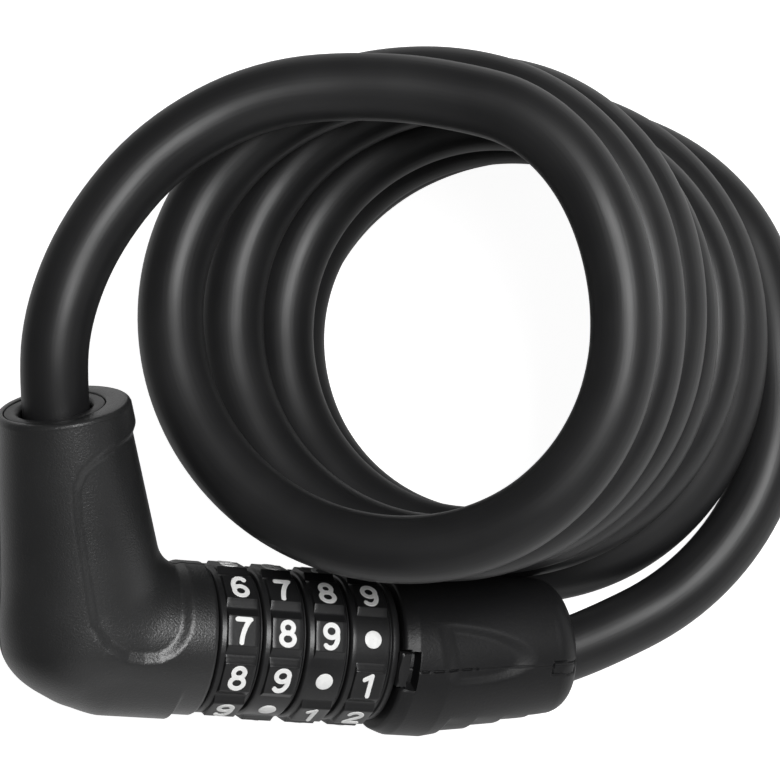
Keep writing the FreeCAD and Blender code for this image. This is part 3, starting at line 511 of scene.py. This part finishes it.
housing = moulded_finish("elbow_finish", (0.014, 0.0142, 0.0145), 0.35, 2600, 0.00007, 0.65)
elbow_front = elbow_shell("elbow_front", 1, 150)
elbow_back = elbow_shell("elbow_back", -1, 90)
for shell, node in ((elbow_front, "elbow_shell_front"), (elbow_back, "elbow_shell_back")):
    shell.data.materials.append(housing)
    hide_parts(node)
    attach(shell, "lock_head")

# The insert ring
# A thin turned ring of the same nylon, pressed into the arm's mouth round the cable.

INSERT_PROFILE = [(39.45, 6.5), (39.45, 8.95), (42.05, 8.95), (42.2, 8.9), (42.26, 8.78),
                  (42.26, 7.3), (42.2, 7.1), (41.6, 6.6), (41.3, 6.5)]


def turned(name, profile, way, steps=120):
    """A closed profile of distances along an axis and out from it, carried once round the axis."""
    way = np.asarray(way, float)
    across = np.array((0.0, 0.0, 1.0))
    aside = np.cross(way, across)
    angle = np.arange(steps) * 2 * np.pi / steps
    out = np.cos(angle)[:, None] * across + np.sin(angle)[:, None] * aside
    along, reach = np.array(profile).T
    points = along[:, None, None] * way + reach[:, None, None] * out[None]
    faces = grid_faces(len(profile), steps, wrap_rows=True, wrap_columns=True)
    return new_piece(name, in_row(points.reshape(-1, 3)), faces)


insert = turned("insert_ring", INSERT_PROFILE, ARM_WAY)
insert_finish = moulded_finish("insert_finish", (0.014, 0.014, 0.0145), 0.4, 1800, 0.00004)
insert.data.materials.append(insert_finish)
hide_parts("head_insert_ring")
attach(insert, "lock_head")

# The dials
# Four moulded rings, each with nine raised flat pads and one bare place. They turn on the core
# over metal code rings, and thin washers keep them apart.

DIAL_START, DIAL_PITCH, DIAL_WIDTH = 21.35, 8.4, 7.75
RING_RADIUS, PAD_HEIGHT, PAD_WIDTH, PAD_LENGTH = 13.4, 14.0, 5.9, 5.8
HALF_PLACE = np.radians(18)
PAD_FOOT = HALF_PLACE - 0.13 / RING_RADIUS
PAD_OFFSET = 0.3
# Side faces start here, inside the rounded edge, and run down to the bore
FACE_RADIUS, BORE_RADIUS = 12.2, 10.0
# The first dial's bare place, in degrees from the front towards the underside, and one place
BLANK_PLACE, PLACE = 83.5, 36.0


def dial_columns():
    """Angles within one tenth of a turn, and the pad's radius at each: flat across the middle,
    rounded at its two corners, and a slope down to the ring at its foot."""
    corner = np.arctan(0.5 * PAD_LENGTH / PAD_HEIGHT)
    flat = np.linspace(0, corner - 0.016, 9)
    radius = PAD_HEIGHT / np.cos(flat)
    top = PAD_HEIGHT / np.cos(corner)
    angle = np.concatenate([flat, [corner - 0.008, corner, corner + 0.007]])
    radius = np.concatenate([radius, [top - 0.05, top - 0.11, top - 0.2]])
    slope = np.linspace(corner + 0.007, PAD_FOOT, 4)[1:]
    radius = np.concatenate([radius, np.linspace(top - 0.2, RING_RADIUS, 4)[1:]])
    angle = np.concatenate([angle, slope, [PAD_FOOT + 0.004, HALF_PLACE]])
    radius = np.concatenate([radius, [RING_RADIUS, RING_RADIUS]])
    angle = np.concatenate([-angle[:0:-1], angle])[1:]
    return angle, np.concatenate([radius[:0:-1], radius])[1:]


def dial_rows():
    """Distances across the ring, how far each row is drawn in at the rounded edges, and how much
    of the pad's height it has. The pads stand a little nearer the plug's side."""
    rows = []
    for shift in (PAD_OFFSET, -PAD_OFFSET):
        margin = (DIAL_WIDTH - PAD_WIDTH) / 2 + shift
        edge = [(0.0, 0.6, 0), (0.05, 0.38, 0), (0.14, 0.2, 0), (0.28, 0.07, 0), (0.46, 0.0, 0)]
        climb = [(-0.1, 0), (-0.04, 0.05), (0, 0.3), (0.04, 0.75), (0.1, 0.94), (0.22, 1), (0.9, 1),
                 (1.9, 1)]
        rows.append(edge + [(margin + past, 0.0, share) for past, share in climb])
    left, right = rows
    return np.array(left + [(DIAL_WIDTH - a, d, h) for a, d, h in right[::-1]]).T


def blank_angle(number):
    """Where the bare place of a dial stands: each dial is set one place on from the last."""
    return BLANK_PLACE - PLACE * number


def dial_ring(number):
    """The ring's outside is a grid over angle and width: the pad's radius where the row is on the
    pads, the plain ring between them. It closes over both side faces and down the bore."""
    angle, pad = dial_columns()
    across, drawn_in, share = dial_rows()
    turn = (angle[None] + np.radians(PLACE) * np.arange(10)[:, None]).ravel()
    radius = np.concatenate([np.full(len(pad), RING_RADIUS), np.tile(pad, 9)])
    reach = RING_RADIUS + share[:, None] * (radius - RING_RADIUS)[None] - drawn_in[:, None]
    ends = np.array([0.0, DIAL_WIDTH])
    bore = np.full((2, len(turn)), BORE_RADIUS)
    face = np.full((1, len(turn)), FACE_RADIUS)
    rows_x = np.concatenate([[0.0], across, [DIAL_WIDTH], ends[::-1]])
    reach = np.concatenate([face, reach, face, bore])
    facing = np.radians(blank_angle(number)) + turn
    start = DIAL_START + DIAL_PITCH * number
    points = np.stack([np.broadcast_to(start + rows_x[:, None], reach.shape),
                       -reach * np.sin(facing)[None], reach * np.cos(facing)[None]], axis=-1)
    faces = grid_faces(len(rows_x), len(turn), wrap_rows=True, wrap_columns=True)
    return new_piece(f"dial_ring_{number + 1}", in_row(points.reshape(-1, 3)), faces[:, ::-1])


dial_finish = moulded_finish("dial_finish", (0.011, 0.011, 0.0115), 0.33, 1800, 0.00002)

# The figures
# Numbers 1 to 9 and a round dot, moulded a little proud of the pads and printed white.

# Half the width of a stroke, how far a figure stands out, and how far it reaches into the pad
STROKE, FIGURE_RISE, FIGURE_SINK = 0.45, 0.14, 0.12
# Strokes that cross are stacked by this little, so that no two faces share a place
STROKE_STACK = 0.012


def arc(centre, radii, start, end, count=22):
    """Points round an ellipse, from one angle to another in degrees."""
    angle = np.radians(np.linspace(start, end, count))
    return np.stack([centre[0] + radii[0] * np.cos(angle), centre[1] + radii[1] * np.sin(angle)], 1)


def bar(x0, y0, x1, y1):
    return np.linspace((x0, y0), (x1, y1), 8)


SIX_BACK = [arc((0.15, 0.1), (1.38, 2.0), 200, 90, 20), arc((0.15, 1.35), (1.0, 0.75), 90, 28, 8)]
SIX = [arc((0, -0.95), (1.22, 1.15), 0, 360, 40), np.concatenate(SIX_BACK)]
TWO_BACK = [arc((0.0, 0.92), (1.2, 1.16), 165, -25, 22), bar(1.05, 0.35, -1.12, -1.85)]
FIGURES = {
    1: [bar(0.28, -2.08, 0.28, 2.08), bar(0.28, 2.0, -0.95, 1.25)],
    2: [np.concatenate(TWO_BACK), bar(-1.15, -2.05, 1.3, -2.05)],
    3: [arc((-0.05, 1.05), (1.08, 1.03), 150, -90, 26),
        arc((-0.05, -0.98), (1.25, 1.1), 90, -155, 28)],
    4: [bar(0.6, -2.08, 0.6, 2.05), bar(0.5, 2.0, -1.25, -0.85), bar(-1.25, -0.95, 1.35, -0.95)],
    5: [bar(-0.75, 2.05, 1.05, 2.05), bar(-0.75, 2.05, -1.0, 0.05),
        arc((-0.02, -0.68), (1.25, 1.4), 138, -150, 30)],
    6: SIX,
    7: [bar(-1.25, 2.05, 1.25, 2.05), arc((4.6, -2.6), (5.0, 6.4), 137.5, 176, 16)],
    8: [arc((0, 1.08), (1.05, 1.0), 0, 360, 36), arc((0, -0.98), (1.26, 1.12), 0, 360, 40)],
    9: [-stroke for stroke in SIX],
}


def ribbon(line, half, closed):
    """A flat bar with bevelled edges carried along a line: a row of six corners at each point,
    and rounded ends where the line is open."""
    if closed:
        line = line[:-1]
        way = np.roll(line, -1, axis=0) - np.roll(line, 1, axis=0)
        width = np.full(len(line), half)
    else:
        way = np.gradient(line, axis=0)
        turn = np.radians(np.array([90, 72, 54, 36, 18]))
        first, last = way[0] / np.hypot(*way[0]), way[-1] / np.hypot(*way[-1])
        head = line[0] - half * np.sin(turn)[:, None] * first
        tail = line[-1] + half * np.sin(turn[::-1])[:, None] * last
        line = np.concatenate([head, line, tail])
        way = np.concatenate([np.tile(first, (5, 1)), way, np.tile(last, (5, 1))])
        width = np.concatenate([half * np.cos(turn), np.full(len(way) - 10, half),
                                half * np.cos(turn[::-1])])
        width = np.maximum(width, 0.02)
    way /= np.hypot(way[:, 0], way[:, 1])[:, None]
    side = np.stack([-way[:, 1], way[:, 0]], axis=1)
    spread = np.array([-1.0, -1.0, -0.86, 0.86, 1.0, 1.0])
    shoulder = FIGURE_RISE - 0.05
    rise = np.array([-FIGURE_SINK, shoulder, FIGURE_RISE, FIGURE_RISE, shoulder, -FIGURE_SINK])
    flat = line[:, None] + (width[:, None] * spread[None])[..., None] * side[:, None]
    rise = np.broadcast_to(rise[None, :, None], (*flat.shape[:2], 1))
    points = np.concatenate([flat, rise], axis=-1)
    faces = grid_faces(len(line), 6, wrap_rows=closed, wrap_columns=True)
    if not closed:
        last_row = 6 * (len(line) - 1) + np.arange(6)
        ends = np.array([[0, 1, 4, 5], [1, 2, 3, 4]])
        faces = np.concatenate([faces, ends, last_row[ends][:, ::-1]])
    return points.reshape(-1, 3), faces


def dot_points():
    """A low round button: rings that rise over a short bevel to a slightly domed top."""
    reach = np.array([1.62, 1.62, 1.52, 1.2, 0.8, 0.4, 0.02])
    rise = np.array([-0.2, 0.12, 0.17, 0.19, 0.2, 0.205, 0.205])
    angle = np.arange(48) * 2 * np.pi / 48
    points = np.stack([reach[:, None] * np.cos(angle), reach[:, None] * np.sin(angle),
                       np.broadcast_to(rise[:, None], (7, 48))], axis=-1)
    return points.reshape(-1, 3), grid_faces(7, 48, wrap_columns=True)


def set_on_dial(points, number, degrees, lift):
    """Turns a flat figure to face out from the barrel at an angle, its top towards the arm. A
    figure on the bare place is bent round the ring."""
    turn = np.radians(degrees)
    centre = DIAL_START + DIAL_PITCH * number + DIAL_WIDTH / 2 + PAD_OFFSET
    if lift == PAD_HEIGHT:
        up, out = points[:, 1], lift + points[:, 2]
    else:
        bend = points[:, 1] / lift
        up, out = (lift + points[:, 2]) * np.sin(bend), (lift + points[:, 2]) * np.cos(bend)
    y = -out * np.sin(turn) + up * np.cos(turn)
    z = out * np.cos(turn) + up * np.sin(turn)
    return np.stack([centre + points[:, 0], y, z], axis=1)


def figures(number):
    """All ten marks of a dial in one mesh."""
    found, faces, count = [], [], 0
    for place in range(10):
        degrees = blank_angle(number) + PLACE * place
        if place == 0:
            made = [(*dot_points(), RING_RADIUS)]
        else:
            made = [(*ribbon(line, STROKE, np.allclose(line[0], line[-1])), PAD_HEIGHT)
                    for line in FIGURES[place]]
        for over, (points, quads, lift) in enumerate(made):
            points[:, 2] += STROKE_STACK * over
            found.append(set_on_dial(points, number, degrees, lift))
            faces.append(quads + count)
            count += len(points)
    points = in_row(np.concatenate(found))
    return new_piece(f"dial_figures_{number + 1}", points, np.concatenate(faces))


def print_finish():
    """White pad-printing ink, satin, with faint thin places."""
    material, surface, place = new_finish("figure_finish", (0.86, 0.86, 0.85), 0.45)
    patches = place.noise(900, detail=3.0)
    thin = patches.between(0.25, 0.8)
    put(thin.colours((0.8, 0.8, 0.79), (0.9, 0.9, 0.89)), surface["Base Color"])
    put(0.4 + 0.15 * patches, surface["Roughness"])
    put(patches.bump(0.00001), surface["Normal"])
    return material


figure_finish = print_finish()
for number in range(4):
    ring, marks = dial_ring(number), figures(number)
    ring.data.materials.append(dial_finish)
    marks.data.materials.append(figure_finish)
    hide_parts(f"dial_{number + 1}")
    for piece in (ring, marks):
        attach(piece, f"dial_{number + 1}")

# The collar and key
# A nylon ring that closes the stack of dials, with a key on it that only fits the plug one way.

COLLAR_PROFILE = [(54.77, 5.7), (54.77, 12.65), (54.85, 12.85), (55.0, 12.98), (55.2, 13.0),
                  (55.9, 13.0), (56.02, 12.92), (56.05, 12.75), (56.05, 12.3), (56.4, 12.2),
                  (56.53, 12.05), (56.55, 11.8), (56.55, 5.7)]
# Opposite corners of the key and the round of its edges
KEY_LOW, KEY_HIGH, KEY_ROUND = (56.05, -2.6, 12.2), (58.15, 3.9, 14.2), 0.2


def block(name, low, high, edge):
    """A closed block with its edges rounded: the surface of a sphere grid pushed out to a box,
    its corners drawn in by the edge's radius."""
    low, high = np.array(low, float), np.array(high, float)
    upper = np.array([30, 44.9, 45.1, 56, 68, 80, 89.9])
    up = np.radians(np.concatenate([-upper[::-1], [0], upper]))
    angle = np.radians(np.arange(0, 360, 7.5))
    way = np.stack([np.cos(up)[:, None] * np.cos(angle), np.cos(up)[:, None] * np.sin(angle),
                    np.broadcast_to(np.sin(up)[:, None], (len(up), len(angle)))], axis=-1)
    cube = way / np.abs(way).max(axis=-1, keepdims=True)
    half = (high - low) / 2
    core = cube * (half - edge)
    points = (low + high) / 2 + core + edge * way
    faces = grid_faces(len(up), len(angle), wrap_columns=True)
    return new_piece(name, in_row(points.reshape(-1, 3)), faces[:, ::-1])


small_parts = moulded_finish("small_parts_finish", (0.012, 0.012, 0.0125), 0.4, 1800, 0.00003)
collar = turned("barrel_collar", COLLAR_PROFILE, (1.0, 0.0, 0.0))
key = block("plug_key", KEY_LOW, KEY_HIGH, KEY_ROUND)
for piece, node in ((collar, "end_collar"), (key, "index_key")):
    piece.data.materials.append(small_parts)
    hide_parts(node)
    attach(piece, "lock_head")

# The plug
# Two satin nylon shells, upper and lower, clamped over the toothed pin and the cable's ferrule.
# Its lip stops just short of the collar, and a slot in the lip takes the key.

LIP_START, LIP_LENGTH, LIP_FLARE, LIP_ROUND = 56.85, 2.7, 0.9, 0.35
# The straight part ends and the taper starts at the waist, whose circle hangs a little low
WAIST, WAIST_DROP, WAIST_RADIUS = 66.0, 0.5, 15.1
BACK, BACK_RISE, BACK_RADIUS, END_ROUND = 88.45, 2.8, 12.9, 5.1
END_TILT, EXIT_TILT = np.radians(10.3), np.radians(23.3)
CABLE_EXIT = np.array((93.56, 1.6, 0.0))
# The seam's height at the lip, its rise a millimetre, and its groove, deeper where the halves gape
SEAM_RISE, SEAM_SLOPE, SEAM_DEPTH, SEAM_GAPE = 0.6, 0.0805, 0.14, 0.25
GAPE_START, GAPE_END = 60.3, 72.0
# The key's slot in the lip: its middle and half height, where it ends, and its depth
SLOT_MIDDLE, SLOT_HALF, SLOT_END, SLOT_DEPTH = 0.65, 3.55, 59.68, 3.0
# The dish: middle and reach along and across the plug, depth, and the line where its wall starts
DISH_X, DISH_Y, DISH_LENGTH, DISH_HEIGHT, DISH_DEPTH = 66.0, 4.0, 18.0, 5.5, 0.8
DISH_WALL, DISH_WALL_LEAN, DISH_WALL_WIDTH = 64.6275, 0.215, 3.9
# The groove round the tab by the cable, and the saw-tooth steps of the grip underneath
TAB_X, TAB_Y, TAB_HALF_LENGTH, TAB_HALF_HEIGHT, TAB_DEPTH = 89.75, 2.6, 2.55, 1.2, 0.35
GRIP_START, GRIP_PITCH, GRIP_STEPS, GRIP_DEPTH = 68.6, 6.0, 4.0, 0.55
# The hole for the cable, from its mouth inwards: how far in, and how wide
CABLE_HOLE = [(0.0, 6.75), (0.25, 6.45), (8.0, 6.4)]
# Inside the shells, from the ferrule's room to the lip: along the barrel, and out from its axis
INNER_WALL = [(76.0, 6.5), (62.2, 6.5), (62.15, 5.9), (58.95, 5.9), (58.9, 7.9), (56.95, 7.9),
              (LIP_START, 8.0), (LIP_START, 12.4)]


def plug_outline():
    """Circles one after another: their centres along and above the barrel's axis, their radii and
    tilts. A flared lip, a straight part, a long taper that leans up to the cable, a round end."""
    along = np.concatenate([[0, 0.03, 0.12, 0.3], np.linspace(0.6, 2.6, 7), [2.75, 2.83, 2.9, 3.0],
                            np.linspace(3.3, WAIST - LIP_START, 26),
                            np.linspace(WAIST - LIP_START, BACK - LIP_START, 100)[1:]]) + LIP_START
    share = np.clip((along - WAIST) / (BACK - WAIST), 0, 1)
    centre = -WAIST_DROP + (BACK_RISE + WAIST_DROP) * share
    radius = WAIST_RADIUS + (BACK_RADIUS - WAIST_RADIUS) * share
    flare = np.clip((LIP_START + LIP_LENGTH - along) / LIP_LENGTH, 0, 1)
    radius = radius - LIP_FLARE * flare ** 1.15
    radius = radius - LIP_ROUND * (1 - np.clip((along - LIP_START) / 0.3, 0, 1) ** 0.5)
    turn = np.radians(np.arange(5, 71, 5))
    along = np.concatenate([along, BACK + END_ROUND * np.sin(turn) * np.cos(END_TILT)])
    centre = np.concatenate([centre, BACK_RISE + END_ROUND * np.sin(turn) * np.sin(END_TILT)])
    radius = np.concatenate([radius, BACK_RADIUS - END_ROUND * (1 - np.cos(turn))])
    return along, centre, radius, END_TILT * np.concatenate([share, np.ones(len(turn))])


def parted(along, centre, radius, tilt, side, angle):
    """One shell's part of each circle, from seam to seam. The seam's plane rises a little along
    the plug. Gives the direction of each point from its circle's centre and that centre."""
    along, centre, radius, tilt = (np.atleast_1d(v)[:, None] for v in (along, centre, radius, tilt))
    cut = SEAM_RISE + SEAM_SLOPE * (along - LIP_START) - centre
    cut = cut / (np.cos(tilt) + SEAM_SLOPE * np.sin(tilt))
    seam = np.arcsin(np.clip(cut / radius, -0.95, 0.95)) * side
    turn = seam + angle[None] * (1 - 2 * seam / np.pi)
    aside = side * np.sin(turn)
    way = np.stack([-aside * np.sin(tilt), aside * np.cos(tilt), np.cos(turn)], axis=-1)
    middle = np.stack([along, centre, np.zeros(along.shape)], axis=-1)
    return way, middle


def plug_relief(x, y, z):
    """What the mould takes off the plug's face: the slot of the key, the long oval dish over the
    seam with its slanting wall, the outline of the tab at the cable, and the grip steps below."""
    front = z > 0
    past_side = step(np.abs(y - SLOT_MIDDLE), SLOT_HALF - 0.08, SLOT_HALF + 0.08)
    slot = SLOT_DEPTH * (1 - past_side) * (1 - step(x, SLOT_END - 0.08, SLOT_END + 0.08)) * front
    oval = np.hypot((y - DISH_Y) / DISH_HEIGHT, (x - DISH_X) / DISH_LENGTH)
    wall = DISH_WALL - DISH_WALL_LEAN * y
    dish = DISH_DEPTH * (1 - step(oval, 0.72, 1.0)) * step(x, wall, wall + DISH_WALL_WIDTH) * front
    away = np.maximum(np.abs(x - TAB_X) - TAB_HALF_LENGTH, np.abs(y - TAB_Y) - TAB_HALF_HEIGHT)
    tab = TAB_DEPTH * (1 - step(np.abs(away), 0.08, 0.24)) * front
    grip = (x - GRIP_START) / GRIP_PITCH
    saw = grip - np.floor(grip)
    under = step(-y, 8.0, 11.0) * step(grip, -0.05, 0.0) * step(GRIP_STEPS - grip, -0.05, 0.0)
    grip_steps = GRIP_DEPTH * under * (1 - saw) * step(saw, 0.0, 0.06)
    return slot + dish + tab + grip_steps


def plug_shell(name, side, columns):
    """One shell: the outline's circles less the relief. The wall turns in over the end to the
    cable's hole, comes back round the pin, and turns out over the lip."""
    along, centre, radius, tilt = plug_outline()
    angle = shell_angles(columns)
    way, middle = parted(along, centre, radius, tilt, side, angle)
    plain = middle + radius[:, None, None] * way
    relief = plug_relief(plain[..., 0], plain[..., 1], plain[..., 2])
    gaping = (along > GAPE_START) * (along < GAPE_END) * (np.sin(along * 2.1) > -0.55)
    at_seam = 1 - step(np.minimum(angle, np.pi - angle), 0.004, 0.018)
    relief += (SEAM_DEPTH + SEAM_GAPE * gaping)[:, None] * at_seam[None]
    outside = middle + (radius[:, None] - relief)[..., None] * way
    exit_way = np.array((np.cos(EXIT_TILT), np.sin(EXIT_TILT), 0.0))
    rows = [outside]
    for (back, out), tilt in zip(CABLE_HOLE, (END_TILT, END_TILT, EXIT_TILT)):
        x, y = (CABLE_EXIT - back * exit_way)[:2]
        way, middle = parted(x, y, out, tilt, side, angle)
        rows.append(middle + out * way)
    for x, out in INNER_WALL:
        way, middle = parted(x, 0.0, out, 0.0, side, angle)
        rows.append(middle + out * way)
    loop = np.concatenate(rows)
    return new_piece(name, in_row(loop.reshape(-1, 3)), close_plug(loop, side, len(along)))


def close_plug(loop, side, outer_rows):
    """The grid of a plug shell, with each seam face a fan of quads from the outer rows to the
    inner row nearest along the barrel."""
    rows, columns = loop.shape[:2]
    faces = grid_faces(rows, columns, wrap_rows=True)
    faces = faces if side > 0 else faces[:, ::-1]
    inner = np.arange(outer_rows, rows)
    seams = []
    for column in (0, columns - 1):
        outer_x, inner_x = loop[:outer_rows, column, 0], loop[inner, column, 0]
        nearest = inner[np.abs(outer_x[:, None] - inner_x[None]).argmin(axis=1)]
        nearest = np.maximum.accumulate(nearest[::-1])[::-1]
        a, b = np.arange(outer_rows - 1), np.arange(1, outer_rows)
        quads = np.stack([a, b, nearest[b], nearest[a]], axis=1) * columns + column
        flip = (column == 0) == (side > 0)
        seams.append(quads[:, ::-1] if flip else quads)
    return np.concatenate([faces, *seams])


plug_finish = moulded_finish("plug_finish", (0.008, 0.008, 0.0085), 0.45, 1800, 0.00004, 0.3)
for name, node, side in (("plug_upper", "plug_shell_upper", 1), ("plug_lower", "plug_shell_lower", -1)):
    shell = plug_shell(name, side, 120)
    shell.data.materials.append(plug_finish)
    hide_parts(node)
    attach(shell, "plug_and_cable")

# The works inside
# A die-cast core, a turned steel pin with milled teeth, brass code rings, steel ferrules pressed
# on the rope's ends, and a rubber seal. The pin shows when the plug is drawn out.


def metal_finish(name, colour, roughness, streaks):
    """Bare metal with fine tool marks, which the stretch makes coarser, and slow tarnish."""
    material, surface, place = new_finish(name, colour, roughness, Metallic=1.0)
    marks = place.stretched(*streaks).noise(1400, detail=4.0)
    tarnish = place.noise(160, detail=3.0)
    put(tarnish.between(0.2, 0.85).colours(tuple(0.72 * c for c in colour), colour),
        surface["Base Color"])
    put(roughness - 0.07 + 0.1 * marks + 0.08 * tarnish, surface["Roughness"])
    put(marks.bump(0.000006), surface["Normal"])
    return material


def seal_finish():
    """Soft matt rubber with a faint bloom."""
    material, surface, place = new_finish("seal_finish", (0.016, 0.016, 0.016), 0.75)
    bloom = place.noise(500, detail=3.0)
    put(bloom.colours((0.013, 0.013, 0.013), (0.024, 0.024, 0.024)), surface["Base Color"])
    put(0.68 + 0.15 * bloom, surface["Roughness"])
    put(bloom.bump(0.00003), surface["Normal"])
    return material


steel = metal_finish("steel_finish", (0.56, 0.56, 0.57), 0.32, (1, 1, 1))
zinc = metal_finish("zinc_finish", (0.5, 0.5, 0.52), 0.45, (0.5, 0.5, 0.5))
brass = metal_finish("brass_finish", (0.62, 0.5, 0.24), 0.35, (1, 1, 1))
INNER_FINISH = {
    "lock_core": zinc, "head_ferrule": steel, "head_rope_end": steel, "head_anchor_pin": steel,
    "detent_leaf": steel, "plug_pin": steel, "plug_cross_pin": steel, "plug_ferrule": steel,
    "plug_rope_end": steel, "code_ring_1": brass, "code_ring_2": brass, "code_ring_3": brass,
    "code_ring_4": brass, "dial_washers": small_parts, "dust_seal": seal_finish(),
}
for node, finish in INNER_FINISH.items():
    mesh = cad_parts[node].data
    mesh.materials.clear()
    mesh.materials.append(finish)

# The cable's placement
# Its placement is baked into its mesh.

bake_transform(cable)

# The floor, light and camera
# A white floor in a dim room, under a soft box beside the camera and a weak one low in front.

floor_mesh = bpy.data.meshes.new("floor")
floor_mesh.from_pydata([(-3, -3, 0), (3, -3, 0), (3, 3, 0), (-3, 3, 0)], [], [(0, 1, 2, 3)])
floor = bpy.data.objects.new("floor", floor_mesh)
bpy.context.scene.collection.objects.link(floor)
floor_material, floor_surface, floor_place = new_finish("floor_finish", (0.6, 0.6, 0.6), 0.9,
                                                        Specular_IOR_Level=0.1)
seen, glossy, through = (floor_place.node("ShaderNodeLightPath", {}, {}, output=f"Is {kind} Ray")
                         for kind in ("Camera", "Glossy", "Transmission"))
floor_surface["Emission Color"].default_value = (1, 1, 1, 1)
put((seen + through + glossy * 0.25) * 0.95, floor_surface["Emission Strength"])
floor_mesh.materials.append(floor_material)

world = bpy.data.worlds.new("studio")
world.use_nodes = True
sky = world.node_tree.nodes["Background"]
sky_place = Socket(world.node_tree, None).node("ShaderNodeTexCoord", {}, {}, output="Generated")
lift = sky_place.part("Z").between(0.02, 0.4)
put(lift.colours((0.16, 0.16, 0.16), (0.12, 0.12, 0.12)), sky.inputs["Color"])
bpy.context.scene.world = world

COIL_MIDDLE = np.array((0.0, 0.0, 0.05))
CAMERA_PLACE = np.array((0.1127, -0.1462, 0.6514))
CAMERA_RIGHT = np.array((0.9779, 0.0246, -0.2079))
CAMERA_UP = np.array((0.0198, 0.9777, 0.2090))
CAMERA_BACK = np.cross(CAMERA_RIGHT, CAMERA_UP)
CAMERA_LENS = 156.72


def facing(right, up, back, place):
    """The placement of a thing that looks against its third direction."""
    matrix = np.eye(4)
    matrix[:3, 0], matrix[:3, 1], matrix[:3, 2], matrix[:3, 3] = right, up, back, place
    return Matrix(matrix.tolist())


camera_data = bpy.data.cameras.new("camera")
camera_data.lens = CAMERA_LENS
camera_data.sensor_width = 36.0
camera = bpy.data.objects.new("camera", camera_data)
bpy.context.scene.collection.objects.link(camera)
camera.matrix_world = facing(CAMERA_RIGHT, CAMERA_UP, CAMERA_BACK, CAMERA_PLACE)
bpy.context.scene.camera = camera


def soft_box(name, way, distance, width, watts):
    """A square lamp that looks at the coil from one direction."""
    way = np.array(way, float)
    way /= np.linalg.norm(way)
    side = np.cross((0.0, 1.0, 0.0), way)
    side /= np.linalg.norm(side)
    lamp = bpy.data.lights.new(name, "AREA")
    lamp.shape, lamp.size, lamp.energy = "SQUARE", width, watts
    holder = bpy.data.objects.new(name, lamp)
    holder.visible_camera = False
    place = COIL_MIDDLE + distance * way
    holder.matrix_world = facing(side, np.cross(way, side), way, place)
    bpy.context.scene.collection.objects.link(holder)


soft_box("key_light", (0.45, -0.02, 0.893), 0.9, 0.36, 8.0)
soft_box("low_light", (0.185, -0.933, 0.279), 1.0, 0.8, 1.0)
bpy.context.scene.view_settings.view_transform = "Standard"
